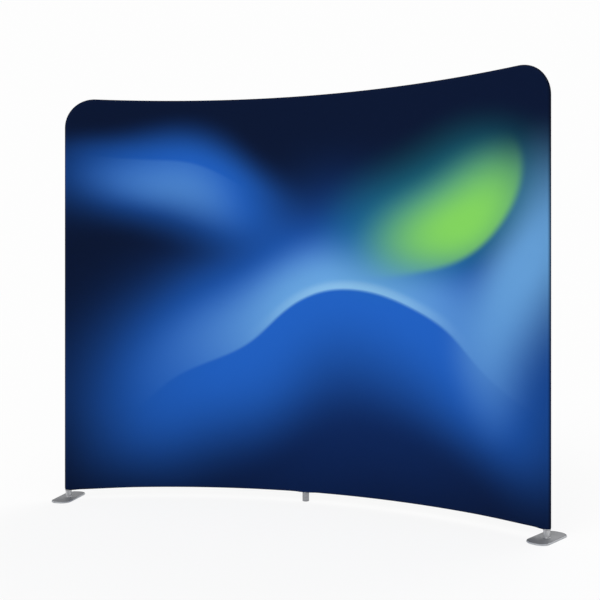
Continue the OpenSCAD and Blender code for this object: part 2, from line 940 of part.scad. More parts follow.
on_left() upright_lower();  // left_upright_lower
on_left() upright_upper();  // left_upright_upper
upright_lower();  // right_upright_lower
upright_upper();  // right_upright_upper
on_left() corner_bend();  // left_corner_bend
corner_bend();  // right_corner_bend
on_left() top_rail();  // top_rail_left
top_rail();  // top_rail_right
on_left() bottom_rail();  // bottom_rail_left
bottom_rail();  // bottom_rail_right
centre_post_lower();
centre_post_upper();
on_left() corner_tee();  // left_corner_tee
corner_tee();  // right_corner_tee
top_centre_tee();
bottom_centre_tee();
on_left() upright_sleeve();  // left_upright_sleeve
upright_sleeve();  // right_upright_sleeve
on_left() bend_sleeve();  // left_bend_sleeve
bend_sleeve();  // right_bend_sleeve
on_left() rail_sleeve();  // left_rail_sleeve
rail_sleeve();  // right_rail_sleeve
centre_post_sleeve();
sleeve_rivets();
on_left() base_button();  // left_base_button
on_left() upright_button();  // left_upright_button
on_left() bend_button();  // left_bend_button
on_left() rail_button();  // left_rail_button
on_left() arm_button();  // left_arm_button
on_left() top_tee_button();  // left_top_tee_button
on_left() bottom_tee_button();  // left_bottom_tee_button
base_button();  // right_base_button
upright_button();  // right_upright_button
bend_button();  // right_bend_button
rail_button();  // right_rail_button
arm_button();  // right_arm_button
top_tee_button();  // right_top_tee_button
bottom_tee_button();  // right_bottom_tee_button
centre_post_button();
at_left_foot() foot_plate();  // left_foot_plate
at_left_foot() foot_post();  // left_foot_post
at_left_foot() foot_screw();  // left_foot_screw
at_left_foot() foot_pads();  // left_foot_pads
at_right_foot() foot_plate();  // right_foot_plate
at_right_foot() foot_post();  // right_foot_post
at_right_foot() foot_screw();  // right_foot_screw
at_right_foot() foot_pads();  // right_foot_pads
centre_leg();
centre_leg_cap();
fabric_front();
fabric_back();
zip_tape();
zip_chain();
zip_slider();
zip_pull();
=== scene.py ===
"""Curved display wall in stretched printed cloth: its looks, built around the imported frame.

The wall's own map is (s, depth, z): s runs along the frame tubes' axes from the middle of the wall
to the right, depth is measured behind those axes, and z is the height above the floor. All sizes
are in metres.
"""

import math

import bmesh
import bpy
import numpy as np
from bpy.props import (
    FloatProperty,
    FloatVectorProperty,
    IntProperty,
    PointerProperty,
)
from bpy.types import Operator, Panel, PropertyGroup
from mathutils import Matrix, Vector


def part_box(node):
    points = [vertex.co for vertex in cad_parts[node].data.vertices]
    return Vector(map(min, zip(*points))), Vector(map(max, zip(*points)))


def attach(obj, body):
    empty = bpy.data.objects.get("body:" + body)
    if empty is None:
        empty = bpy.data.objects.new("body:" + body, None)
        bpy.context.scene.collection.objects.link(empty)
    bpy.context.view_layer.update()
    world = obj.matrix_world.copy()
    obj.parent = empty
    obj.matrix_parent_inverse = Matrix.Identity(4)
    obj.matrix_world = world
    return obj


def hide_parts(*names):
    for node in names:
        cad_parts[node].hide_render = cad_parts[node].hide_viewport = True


bl_info = {
    "name": "Curved display wall",
    "version": (1, 0, 0),
    "blender": (4, 5, 0),
    "location": "View3D > Sidebar > Display wall",
    "description": "Builds the cloth, zip, feet and studio of a curved fabric display wall",
    "category": "Object",
}

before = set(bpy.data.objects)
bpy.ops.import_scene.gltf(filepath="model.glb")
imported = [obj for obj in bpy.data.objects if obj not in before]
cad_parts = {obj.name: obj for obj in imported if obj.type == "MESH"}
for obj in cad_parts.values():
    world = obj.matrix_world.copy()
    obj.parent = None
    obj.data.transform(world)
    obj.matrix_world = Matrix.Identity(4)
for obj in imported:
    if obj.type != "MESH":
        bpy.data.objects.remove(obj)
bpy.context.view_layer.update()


def axis_height(node):
    """Height of a level tube's axis: the middle of its box."""
    low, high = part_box(node)
    return (low.z + high.z) / 2


def upright_axis(side):
    """Plan position of an end upright's axis: the middle of the box of its lower tube."""
    low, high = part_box(f"{side}_upright_lower")
    return (low.x + high.x) / 2, (low.y + high.y) / 2


PLAN_RADIUS = 2.6
HALF_ANGLE = math.radians(26.3)
RAIL_HEIGHT = axis_height("bottom_rail_left")
TOP_HEIGHT = axis_height("top_rail_left")
END_AXIS = upright_axis("right")
END_LENGTH = math.hypot(END_AXIS[0] - PLAN_RADIUS * math.sin(HALF_ANGLE),
                        END_AXIS[1] - PLAN_RADIUS * (math.cos(HALF_ANGLE) - 1.0))

# Steps of the cloth's grids
COLUMN_STEP = 0.016
HOLE_STEPS = 8
HEM_COLUMNS = 10
STRAIGHT_COLUMNS = 4
BEND_STEPS = 25
PANEL_ROWS = 72
TURN_STEPS = 8
HEM_STEPS = 10
RISE_STEPS = 2
SIDE_STEP = 0.03
ZIP_END_STEP = 0.001
# Columns are rounded to these digits, and one is left out where it comes within the least step of the
# one before. A mesh's points are merged within the last distance
COLUMN_DIGITS = 7
LEAST_STEP = 2e-5
MERGE_DISTANCE = 2e-6
# The hem's section is a circle with the exponent 2, and squarer with a higher one
ROUND_EXPONENT = 2.0
HEM_EXPONENT = 6.0
# Lengths beside a hole, where the hem stays squarest, and beside a post, where it stays lowest
HEM_FLAT = 0.016
DIP_FLAT = 0.040
# Steps round turned pieces, the seam's ridge and the bindings of the hem's holes
TURNED_STEPS = 96
CORD_STEPS = 10
BINDING_STEPS = 12
# Edges sharper than this stay crisp
CREASE_ANGLE = math.radians(35.0)
# Pills, as (place along, share of the radius): a moulded tooth and a plain stitch
TOOTH = ((-1.0, 0.0), (-1.0, 0.55), (-0.72, 1.0), (0.72, 1.0), (1.0, 0.55), (1.0, 0.0))
STITCH = ((-1.0, 0.0), (-0.7, 1.0), (0.7, 1.0), (1.0, 0.0))
PILL_STEPS = 6
# A stitch's half length as a share of its pitch, and its half width as a share of the thread's radius
STITCH_LENGTH = 0.36
STITCH_WIDTH = 1.2
# Where the edge seam starts below the bottom rail's axis, and the tacks that end the zip
SEAM_START = 0.012
TACK_GAP = 0.0012
TACK_SIZE = (0.0045, 0.0009, 0.0005)
# Half sizes of the section of a hem hole's binding
BINDING = (0.00045, 0.00035)
# The zip's tapes: steps along and across, gap behind the cloth and thickness
TAPE_COLUMNS = 160
TAPE_ROWS = 4
TAPE_GAP = 0.0001
TAPE_THICKNESS = 0.00035
# A tooth's half sizes as shares of the chain's width, the tooth pitch and the chain's rise, and how
# far its side's row is shifted, as a share of the pitch
TOOTH_SHARES = (0.33, 0.31, 0.68)
TOOTH_SHIFT = 0.25
# A foot plate's steps, its lower bevel, and its rings' insets below, over the top and in the middle
CORNER_STEPS = 14
EDGE_STEPS = 12
ROLL_STEPS = 8
PLATE_BEVEL = 0.0012
PLATE_BELOW = 0.012
PLATE_ABOVE = (0.006, 0.010, 0.020)
PLATE_MIDDLE = 0.03
# Posts: bore, its radius less than the screw hole's, weld at the foot and groove under the collar
BORE_DEPTH = 0.020
BORE_LESS = 0.0002
WELD_RADIUS = 0.0016
GROOVE_DROP = 0.011
GROOVE_DEPTH = 0.0005
# Spigots of the posts and the leg, their end's bevel and the broken edge of a collar or leg
POST_SPIGOT = 0.044
LEG_SPIGOT = 0.028
SPIGOT_BEVEL = 0.001
BROKEN_EDGE = 0.0003
# The stem of the leg's end cap and the room above it
CAP_STEM = 0.018
STEM_ROOM = 0.001
# Knit: pitch across a rib and along a course, and depth. Tape: pitch of its twill
KNIT_RIB = 0.0013
KNIT_COURSE = 0.0009
KNIT_DEPTH = 0.00008
TWILL_PITCH = 0.0011
# Grain of a metal: streaks that run upwards, or the same on every axis
UPRIGHT_GRAIN = (40.0, 40.0, 4.0)
EVEN_GRAIN = (40.0, 40.0, 40.0)
# Studio: a lamp's azimuth is its turn about the vertical from straight in front of the picture
FLOOR_HALF = 300.0
LAMP_AZIMUTHS = {"front lamp": math.radians(-20.0), "rear lamp": math.radians(160.0)}
LAMP_ELEVATION = math.radians(42.0)
SENSOR_WIDTH = 36.0


# ---------------------------------------------------------------- settings


class WallSizes(PropertyGroup):
    """Sizes of the frame that the cloth is stretched over."""

    plan_radius: FloatProperty(
        name="Plan radius", description="Radius of the curve on the tube axes",
        default=PLAN_RADIUS, unit="LENGTH")
    half_angle: FloatProperty(
        name="Half angle", description="Half of the angle that the curve spans",
        default=HALF_ANGLE, subtype="ANGLE")
    end_length: FloatProperty(
        name="Straight end", description="Straight length from the curve to an end upright",
        default=END_LENGTH, unit="LENGTH")
    bend_radius: FloatProperty(
        name="Corner radius", description="Radius of the top corners on the tube axis",
        default=0.15, unit="LENGTH")
    rail_height: FloatProperty(
        name="Bottom rail", description="Height of the bottom rail's axis",
        default=RAIL_HEIGHT, unit="LENGTH")
    top_height: FloatProperty(
        name="Top rail", description="Height of the top rail's axis",
        default=TOP_HEIGHT, unit="LENGTH")


class ClothSizes(PropertyGroup):
    """Sizes of the cover's cloth, hems, seams and zip."""

    reach: FloatProperty(
        name="Reach", description="From a tube's axis to the outside of the cloth",
        default=0.0203, unit="LENGTH")
    thickness: FloatProperty(
        name="Thickness", description="Thickness of the cloth",
        default=0.0008, unit="LENGTH")
    dip: FloatProperty(
        name="Dip", description="How far the lower edge is pulled down at the foot posts",
        default=0.0034, unit="LENGTH")
    dip_length: FloatProperty(
        name="Dip length", description="Length over which the lower edge rises from a post",
        default=0.380, unit="LENGTH")
    square_length: FloatProperty(
        name="Square length", description="Length over which the hem turns round beside a hole",
        default=0.060, unit="LENGTH")
    hole_radius: FloatProperty(
        name="Hem hole", description="Radius of the hem's holes for the legs",
        default=0.0187, unit="LENGTH")
    seam_width: FloatProperty(
        name="Seam ridge", description="Half width of the ridge of the outer seam",
        default=0.0013, unit="LENGTH")
    seam_rise: FloatProperty(
        name="Seam rise", description="How far the outer seam's ridge stands out",
        default=0.0007, unit="LENGTH")
    stitch_pitch: FloatProperty(
        name="Stitch pitch", description="Length of one stitch with its gap",
        default=0.004, unit="LENGTH")
    stitch_inset: FloatProperty(
        name="Stitch rows", description="Depth of a row of stitches beside the outer seam",
        default=0.0032, unit="LENGTH")
    thread_radius: FloatProperty(
        name="Thread", description="Radius of the sewing thread",
        default=0.00022, unit="LENGTH")
    zip_rise: FloatProperty(
        name="Zip rise", description="Height of the zip line above the bottom rail's axis",
        default=0.016, unit="LENGTH")
    zip_width: FloatProperty(
        name="Zip width", description="Visible width of the zip's two tapes",
        default=0.007, unit="LENGTH")
    zip_hem: FloatProperty(
        name="Zip hem", description="From the zip's edge to its row of stitches",
        default=0.0025, unit="LENGTH")
    tape_tuck: FloatProperty(
        name="Tape tuck", description="How far the tapes run on under the cloth",
        default=0.003, unit="LENGTH")
    tooth_pitch: FloatProperty(
        name="Tooth pitch", description="Distance between two teeth of one side",
        default=0.002, unit="LENGTH")
    chain_width: FloatProperty(
        name="Chain width", description="Width of the zip's closed chain",
        default=0.0032, unit="LENGTH")
    chain_rise: FloatProperty(
        name="Chain rise", description="How far the chain stands out of the cloth",
        default=0.0014, unit="LENGTH")


class PrintColours(PropertyGroup):
    """Colours of the printed picture, of the plain back and of the sewing."""

    ground: FloatVectorProperty(
        name="Ground", description="Darkest colour of the print",
        subtype="COLOR", size=3, default=(0.0030, 0.0085, 0.0330))
    deep: FloatVectorProperty(
        name="Deep blue", description="Dark blue that lifts the ground",
        subtype="COLOR", size=3, default=(0.0045, 0.0230, 0.1150))
    royal: FloatVectorProperty(
        name="Royal blue", description="Main blue of the bands",
        subtype="COLOR", size=3, default=(0.0170, 0.1300, 0.5800))
    sky: FloatVectorProperty(
        name="Sky blue", description="Lightest blue, along the crests of the bands",
        subtype="COLOR", size=3, default=(0.1600, 0.4200, 0.8000))
    crest: FloatVectorProperty(
        name="Crest", description="Bright line along the middle band's crest",
        subtype="COLOR", size=3, default=(0.3600, 0.6600, 0.9300))
    teal: FloatVectorProperty(
        name="Teal", description="Rim of the green glow",
        subtype="COLOR", size=3, default=(0.0150, 0.2000, 0.2800))
    green: FloatVectorProperty(
        name="Green", description="Heart of the green glow",
        subtype="COLOR", size=3, default=(0.2400, 0.7000, 0.1200))
    back: FloatVectorProperty(
        name="Back cloth", description="Colour of the plain back panel",
        subtype="COLOR", size=3, default=(0.0065, 0.0120, 0.0360))
    thread: FloatVectorProperty(
        name="Thread", description="Colour of the sewing thread and the tapes",
        subtype="COLOR", size=3, default=(0.0050, 0.0070, 0.0160))


class FootSizes(PropertyGroup):
    """Sizes of the foot plates, their posts and the centre leg."""

    plate_length: FloatProperty(
        name="Plate length", description="Length of a foot plate, square to the wall",
        default=0.26, unit="LENGTH")
    plate_width: FloatProperty(
        name="Plate width", description="Width of a foot plate, along the wall",
        default=0.115, unit="LENGTH")
    plate_low: FloatProperty(
        name="Plate underside", description="Height of a foot plate's underside",
        default=0.001, unit="LENGTH")
    plate_thickness: FloatProperty(
        name="Plate thickness", description="Thickness of a foot plate",
        default=0.008, unit="LENGTH")
    corner_radius: FloatProperty(
        name="Plate corners", description="Corner radius of a foot plate",
        default=0.05, unit="LENGTH")
    edge_radius: FloatProperty(
        name="Plate edge", description="Radius of a foot plate's top edge",
        default=0.004, unit="LENGTH")
    screw_radius: FloatProperty(
        name="Screw hole", description="Radius of the plate's hole for its screw",
        default=0.0042, unit="LENGTH")
    left_turn: FloatProperty(
        name="Left foot's turn", description="Turn of the left plate out of square",
        default=math.radians(20.0), subtype="ANGLE")
    post_low_radius: FloatProperty(
        name="Post radius below", description="Radius of a post at its plate",
        default=0.015, unit="LENGTH")
    post_top_radius: FloatProperty(
        name="Post radius above", description="Radius of a post under the cloth",
        default=0.0175, unit="LENGTH")
    collar_radius: FloatProperty(
        name="Collar radius", description="Radius of a post's collar in the hem",
        default=0.0185, unit="LENGTH")
    collar_low: FloatProperty(
        name="Collar underside", description="Height of the underside of a post's collar",
        default=0.0491, unit="LENGTH")
    shoulder: FloatProperty(
        name="Shoulder", description="Height at which posts and leg enter their fittings",
        default=0.0511, unit="LENGTH")
    spigot_radius: FloatProperty(
        name="Spigot radius", description="Radius of a post or leg inside its fitting",
        default=0.01742, unit="LENGTH")
    leg_radius: FloatProperty(
        name="Leg radius", description="Radius of the centre leg",
        default=0.0185, unit="LENGTH")
    leg_wall: FloatProperty(
        name="Leg wall", description="Wall of the leg round its end cap's stem",
        default=0.003, unit="LENGTH")
    cap_height: FloatProperty(
        name="Cap height", description="Height of the leg's end cap",
        default=0.005, unit="LENGTH")


class StudioSettings(PropertyGroup):
    """Camera, lamps and floor."""

    camera_place: FloatVectorProperty(
        name="Camera", description="Where the camera stands",
        subtype="TRANSLATION", unit="LENGTH", size=3, default=(1.409, -4.519, 1.180))
    camera_yaw: FloatProperty(
        name="Yaw", description="Turn of the level view to the left of straight ahead",
        default=math.radians(17.714), subtype="ANGLE")
    lens: FloatProperty(
        name="Lens", description="Focal length in millimetres on a 36 mm sensor",
        default=50.0)
    horizon_row: FloatProperty(
        name="Horizon", description="Row of the picture that the horizon lies on",
        default=293.1)
    picture_rows: IntProperty(
        name="Rows", description="Height of the picture in pixels", default=600)
    lamp_power: FloatProperty(
        name="Lamps", description="Strength of the two wide soft lamps", default=0.94)
    lamp_spread: FloatProperty(
        name="Softness", description="Angle over which a lamp's light is spread",
        default=math.radians(40.0), subtype="ANGLE")
    fill_light: FloatProperty(
        name="Fill", description="Strength of the even light from all round", default=0.60)
    white: FloatProperty(
        name="White", description="Brightness of the floor and backdrop", default=0.985)
    shadow_share: FloatProperty(
        name="Shadow", description="Share of the floor's shading that shows", default=0.13)


class DisplayWall(PropertyGroup):
    """All settings of the display wall."""

    wall: PointerProperty(type=WallSizes)
    cloth: PointerProperty(type=ClothSizes)
    colours: PointerProperty(type=PrintColours)
    feet: PointerProperty(type=FootSizes)
    studio: PointerProperty(type=StudioSettings)


# ---------------------------------------------------------------- the wall's map


def smooth_step(value):
    """Cubic step from 0 to 1: three times the square less twice the cube of the clamped value."""
    value = np.clip(value, 0.0, 1.0)
    return value * value * (3.0 - 2.0 * value)


def arc_length(wall):
    """Half length of the curved part on the tube axes."""
    return wall.plan_radius * wall.half_angle


def upright_s(wall):
    """Length along the tube axes from the middle to an end upright."""
    return arc_length(wall) + wall.end_length


def wall_points(wall, s, depth, z):
    """Points at (s, depth, z). On the curve they lie at the plan radius plus depth from its centre,
    at the angle s over the radius. Past its ends the map runs straight on along the tangent."""
    s, depth, z = np.broadcast_arrays(s, depth, z)
    on_curve = np.clip(s, -arc_length(wall), arc_length(wall))
    past = s - on_curve
    angle = on_curve / wall.plan_radius
    radius = wall.plan_radius + depth
    x = radius * np.sin(angle) + past * np.cos(angle)
    y = radius * np.cos(angle) - wall.plan_radius - past * np.sin(angle)
    return np.stack([x, y, z], axis=-1)


def outline_top(wall, s):
    """Height of the tube axes over s: level, then a quarter circle down at each corner."""
    past = np.clip(np.abs(s) - (upright_s(wall) - wall.bend_radius), 0.0, wall.bend_radius)
    drop = wall.bend_radius - np.sqrt(wall.bend_radius**2 - past**2)
    return wall.top_height - drop


def outline_run(wall, low):
    """The tube axes from the height low up the left side, over the top and down the right side: s, z
    and the outward lean, 0 at the top and a quarter turn at the sides. The left half is even steps
    up the side, even angles round the corner and even steps along the top. The right half mirrors
    it."""
    corner_s = upright_s(wall) - wall.bend_radius
    corner_z = wall.top_height - wall.bend_radius
    side = np.linspace(low, corner_z, int((corner_z - low) / SIDE_STEP) + 1)
    angle = np.linspace(math.pi / 2, 0.0, BEND_STEPS)[1:]
    top = np.linspace(-corner_s, 0.0, int(corner_s / COLUMN_STEP) + 1)[1:]
    half_s = np.concatenate([np.full(side.size, -upright_s(wall)),
                             -corner_s - wall.bend_radius * np.sin(angle), top])
    half_z = np.concatenate([side, corner_z + wall.bend_radius * np.cos(angle),
                             np.full(top.size, wall.top_height)])
    half_lean = np.concatenate([np.full(side.size, math.pi / 2), angle, np.zeros(top.size)])
    s = np.concatenate([half_s, -half_s[-2::-1]])
    z = np.concatenate([half_z, half_z[-2::-1]])
    lean = np.concatenate([-half_lean, half_lean[-2::-1]])
    return s, z, lean


def even_places(run, pitch):
    """Places at even steps along a run: its s, z and lean over the length covered so far."""
    s, z, lean = run
    length = np.concatenate([[0.0], np.cumsum(np.hypot(np.diff(s), np.diff(z)))])
    count = int(length[-1] / pitch)
    at = (np.arange(count) + 0.5) * length[-1] / count
    return tuple(np.interp(at, length, values) for values in (s, z, lean))


def cloth_columns(wall, cloth):
    """Positions along s for the cloth's columns: even on the curve, close at the holes in the hem
    and bunched by a cosine at the top corners and at the foot posts."""
    arc, upright = arc_length(wall), upright_s(wall)
    hole = cloth.hole_radius * np.sin(np.linspace(0.0, math.pi / 2, HOLE_STEPS + 1))
    near = np.linspace(cloth.hole_radius, 2 * cloth.square_length, HEM_COLUMNS + 1)
    curve = np.arange(2 * cloth.square_length, arc, COLUMN_STEP)
    curve = np.append(curve, [arc, arc + ZIP_END_STEP])
    straight = np.linspace(arc, upright - wall.bend_radius, STRAIGHT_COLUMNS + 1)[1:]
    bend = upright - wall.bend_radius * (1.0 - np.sin(np.linspace(0.0, math.pi / 2, BEND_STEPS)))
    right = np.concatenate([hole, near, curve, straight, bend, upright - hole,
                            upright - near[near < wall.end_length]])
    right = np.unique(np.round(right, COLUMN_DIGITS))
    right = right[np.append(True, np.diff(right) > LEAST_STEP)]
    return np.concatenate([-right[:0:-1], right])


def hem_exponent(wall, cloth, s):
    """Exponent of the hem's section: squarest over its three holes, and round along the rail."""
    distance = np.minimum(np.abs(s), np.abs(np.abs(s) - upright_s(wall)))
    square = 1.0 - smooth_step((distance - HEM_FLAT) / cloth.square_length)
    return ROUND_EXPONENT + (HEM_EXPONENT - ROUND_EXPONENT) * square**2


def hem_dip(wall, cloth, s):
    """How far the hem is pulled down: fully at the posts, rising smoothly over the dip's length."""
    distance = np.abs(np.abs(s) - upright_s(wall))
    return cloth.dip * (1.0 - smooth_step((distance - DIP_FLAT) / cloth.dip_length))


def hem_profile(wall, cloth, s, share):
    """Half of the lower edge's section, as reach from the axis and height. It is a superellipse:
    reach by cosine and drop by sine, both to the power 2 / exponent. share is the angle, from 0
    level to 1 below."""
    power = 2.0 / hem_exponent(wall, cloth, s)
    angle = share * math.pi / 2
    reach = cloth.reach * np.clip(np.cos(angle), 0, 1) ** power
    drop = (cloth.reach + hem_dip(wall, cloth, s)) * np.clip(np.sin(angle), 0, 1) ** power
    return reach, wall.rail_height - drop


def hem_end_share(wall, cloth, s, half_gap):
    """Share of the quarter turn at which the section's reach has fallen to half_gap."""
    ratio = np.clip(half_gap / cloth.reach, 0.0, 1.0) ** (hem_exponent(wall, cloth, s) / 2.0)
    return np.arccos(ratio) / (math.pi / 2)


def zip_lines(wall, cloth):
    """Heights of the zip's lower and upper edge."""
    middle = wall.rail_height + cloth.zip_rise
    return middle - cloth.zip_width / 2, middle + cloth.zip_width / 2


def print_place(s, z, edge=0.0):
    """Print coordinates of a place on the unrolled cloth: metres along the wall, metres up, and how
    far round the edge it lies, from 0 on the flat to 1 at the seam."""
    return np.stack(np.broadcast_arrays(s, z, edge), -1)


# ---------------------------------------------------------------- meshes


def grid_faces(rows, columns):
    """Quads of a grid of rows by columns of vertices, numbered row by row from 0."""
    corner = np.arange(rows - 1)[:, None] * columns + np.arange(columns - 1)[None, :]
    return np.stack([corner, corner + 1, corner + columns + 1, corner + columns], -1).reshape(-1, 4)


class Patchwork:
    """Grids of points with their print coordinates, collected to be welded into one mesh."""

    def __init__(self):
        self.points, self.faces, self.prints = [], [], []
        self.count = 0

    def add(self, points, prints, flip=False):
        """Adds a grid of rows by columns of points, or a stack of such grids. flip turns its faces
        over."""
        stack = points if points.ndim == 4 else points[None]
        copies, rows, columns = stack.shape[:3]
        starts = self.count + np.arange(copies) * rows * columns
        faces = (grid_faces(rows, columns)[None] + starts[:, None, None]).reshape(-1, 4)
        self.faces.append(faces[:, ::-1] if flip else faces)
        self.points.append(stack.reshape(-1, 3))
        self.prints.append(np.broadcast_to(prints, (copies, rows, columns, 3)).reshape(-1, 3))
        self.count += copies * rows * columns

    def build(self, name, closed=False):
        """Makes the mesh object. The first two print coordinates become the UV map "print" and the
        third the map "edge". Points that coincide are welded, and the faces of a closed piece are
        turned outwards."""
        points = np.concatenate(self.points)
        faces = np.concatenate(self.faces)
        prints = np.concatenate(self.prints)[faces.ravel()]
        mesh = bpy.data.meshes.new(name)
        mesh.vertices.add(len(points))
        mesh.vertices.foreach_set("co", points.astype(np.float32).ravel())
        mesh.loops.add(faces.size)
        mesh.loops.foreach_set("vertex_index", faces.astype(np.int32).ravel())
        mesh.polygons.add(len(faces))
        mesh.polygons.foreach_set("loop_start", np.arange(0, faces.size, 4, dtype=np.int32))
        mesh.update(calc_edges=True)
        edge = np.stack([prints[:, 2], np.zeros(len(prints))], -1)
        for layer_name, values in (("print", prints[:, :2]), ("edge", edge)):
            layer = mesh.uv_layers.new(name=layer_name)
            layer.data.foreach_set("uv", values.astype(np.float32).ravel())
        welded = bmesh.new()
        welded.from_mesh(mesh)
        bmesh.ops.remove_doubles(welded, verts=welded.verts, dist=MERGE_DISTANCE)
        bmesh.ops.dissolve_degenerate(welded, edges=welded.edges, dist=MERGE_DISTANCE)
        if closed:
            bmesh.ops.recalc_face_normals(welded, faces=welded.faces)
        welded.to_mesh(mesh)
        welded.free()
        mesh.polygons.foreach_set("use_smooth", np.ones(len(mesh.polygons), bool))
        mesh.validate()
        mesh.update()
        piece = bpy.data.objects.new(name, mesh)
        bpy.context.scene.collection.objects.link(piece)
        return piece


def thicken(piece, thickness):
    """Gives a sheet its thickness, inwards from the face that shows."""
    wall = piece.modifiers.new("thickness", "SOLIDIFY")
    wall.thickness = thickness
    wall.offset = -1.0


def crease(piece):
    """Keeps sharp edges crisp, and shades the rest smoothly."""
    piece.data.set_sharp_from_angle(angle=CREASE_ANGLE)


def cover_half(wall, cloth, columns, front):
    """The front or back panel with its quarter turn round the frame, as a Patchwork.

    Panel: columns along s, rows from the lower line to the outline, at a depth of one reach.
    Turn: about the tube axis, reach times the sine of the angle outwards and reach times its cosine
    in depth, from the panel at 0 to the seam at a quarter turn."""
    work = Patchwork()
    side = -1.0 if front else 1.0
    upright = upright_s(wall)
    low_line, high_line = zip_lines(wall, cloth)
    if front:
        low = np.full_like(columns, wall.rail_height)
    else:
        low = np.where(np.abs(columns) > arc_length(wall) + ZIP_END_STEP / 2, low_line, high_line)
    share = np.linspace(0.0, 1.0, PANEL_ROWS + 1)[:, None]
    top = outline_top(wall, columns)
    z = low + (top - low) * share
    s = np.broadcast_to(columns, z.shape)
    work.add(wall_points(wall, s, side * cloth.reach, z), print_place(s, z), flip=not front)

    turn = np.linspace(0.0, math.pi / 2, TURN_STEPS + 1)[:, None]
    edge = turn / (math.pi / 2)
    out, back = cloth.reach * np.sin(turn), side * cloth.reach * np.cos(turn)
    past = np.clip(np.abs(columns) - (upright - wall.bend_radius), 0.0, wall.bend_radius)
    lean = np.arcsin(past / wall.bend_radius) * np.sign(columns)
    s = columns + out * np.sin(lean)
    z = top + out * np.cos(lean)
    laid = cloth.reach * turn
    prints = print_place(columns + laid * np.sin(lean), top + laid * np.cos(lean), edge)
    work.add(wall_points(wall, s, back, z), prints, flip=not front)

    for hand in (-1.0, 1.0):
        rows = low[-1] + (top[-1] - low[-1]) * share[:, 0]
        s, z, depth = np.broadcast_arrays(hand * (upright + out), rows, back)
        prints = print_place(hand * (upright + laid), z, edge)
        work.add(wall_points(wall, s, depth, z), prints, flip=(hand > 0) == front)
    return work


def add_lower_edge(work, wall, cloth, columns):
    """The front panel's lower edge: the section of hem_profile carried along the rail, open over the
    circle of each hole, then straight up behind the rail to the zip. At the ends the section turns
    half round the upright's axis."""
    upright = upright_s(wall)
    low_line = zip_lines(wall, cloth)[0]
    from_leg = np.minimum(np.abs(columns), np.abs(np.abs(columns) - upright))
    gap = np.sqrt(np.clip(cloth.hole_radius**2 - from_leg**2, 0.0, None))
    end = hem_end_share(wall, cloth, columns, gap)
    share = np.linspace(0.0, 1.0, HEM_STEPS + 1)[:, None] * end
    reach, z = hem_profile(wall, cloth, columns, share)
    last = np.arange(HEM_STEPS + 1)[:, None] == HEM_STEPS
    reach = np.where(last, gap, reach)
    s = np.broadcast_to(columns, z.shape)
    laid = wall.rail_height - cloth.reach * share * math.pi / 2
    work.add(wall_points(wall, s, -reach, z), print_place(s, laid, share), flip=True)
    work.add(wall_points(wall, s, reach, z), print_place(s, laid, share))
    rise = np.linspace(wall.rail_height, low_line, RISE_STEPS + 1)[:, None]
    s, z = np.broadcast_arrays(columns, rise)
    work.add(wall_points(wall, s, cloth.reach, z), print_place(s, z), flip=True)

    turn = np.linspace(0.0, math.pi, 2 * TURN_STEPS + 1)[:, None]
    edge = np.clip(turn / (math.pi / 2), 0.0, 1.0)
    for hand in (-1.0, 1.0):
        share = np.linspace(0.0, 1.0, HEM_STEPS + 1) * end[-1]
        reach, z = hem_profile(wall, cloth, upright, share)
        reach[-1] = gap[-1]
        s = hand * (upright + reach * np.sin(turn))
        depth = -reach * np.cos(turn)
        laid = hand * (upright + cloth.reach * turn)
        work.add(wall_points(wall, s, depth, z),
                 print_place(laid, z, np.maximum(edge, share)), flip=hand < 0)
        late = turn[TURN_STEPS:]
        s, z, depth = np.broadcast_arrays(hand * (upright + cloth.reach * np.sin(late)),
                                          rise[:, 0], -cloth.reach * np.cos(late))
        laid = hand * (upright + cloth.reach * late)
        work.add(wall_points(wall, s, depth, z), print_place(laid, z, 1.0), flip=hand > 0)


def add_cord(work, wall, run, out, radii):
    """A cord carried along a run, its section an ellipse: out plus the first radius times the cosine
    outwards, and the second radius times the sine in depth. Both ends close to a point."""
    s, z, lean = (np.concatenate([v[:1], v, v[-1:]])[:, None] for v in run)
    swell = np.ones(s.shape)
    swell[[0, -1]] = 0.0
    turn = np.linspace(0.0, 2 * math.pi, CORD_STEPS + 1)
    away = out + radii[0] * np.cos(turn) * swell
    depth = radii[1] * np.sin(turn) * swell
    points = wall_points(wall, s + away * np.sin(lean), depth, z + away * np.cos(lean))
    length = np.cumsum(np.hypot(np.diff(s, axis=0, prepend=s[:1]), np.diff(z, axis=0, prepend=z[:1])))
    work.add(points, print_place(length[:, None], radii[1] * turn))


def add_pills(work, wall, places, shape, size, out=0.0, depth=0.0):
    """A row of like pills, one at each place (s, z, lean). A pill is a round bar along the run: its
    rings lie at shares of its half length and have shares of its half width outwards and of its
    half height in depth."""
    s, z, lean = (v[:, None, None] for v in places)
    ring = np.array(shape)
    turn = np.linspace(0.0, 2 * math.pi, PILL_STEPS + 1)
    along = (size[0] * ring[:, 0])[None, :, None]
    swell = ring[:, 1][None, :, None]
    away = out + size[1] * swell * np.cos(turn)
    back = depth + size[2] * swell * np.sin(turn)
    points = wall_points(wall, s + along * np.cos(lean) + away * np.sin(lean), back,
                         z - along * np.sin(lean) + away * np.cos(lean))
    work.add(points, print_place(s + along, z + 0 * turn))


def turned(profile, centre):
    """Surface of revolution: each (radius, height) of the profile turned about an upright axis
    through centre."""
    angle = np.linspace(0.0, 2 * math.pi, TURNED_STEPS + 1)
    radius, height = profile[:, 0][:, None], profile[:, 1][:, None]
    x, y, z = np.broadcast_arrays(centre[0] + radius * np.cos(angle),
                                  centre[1] + radius * np.sin(angle), height)
    return np.stack([x, y, z], -1)


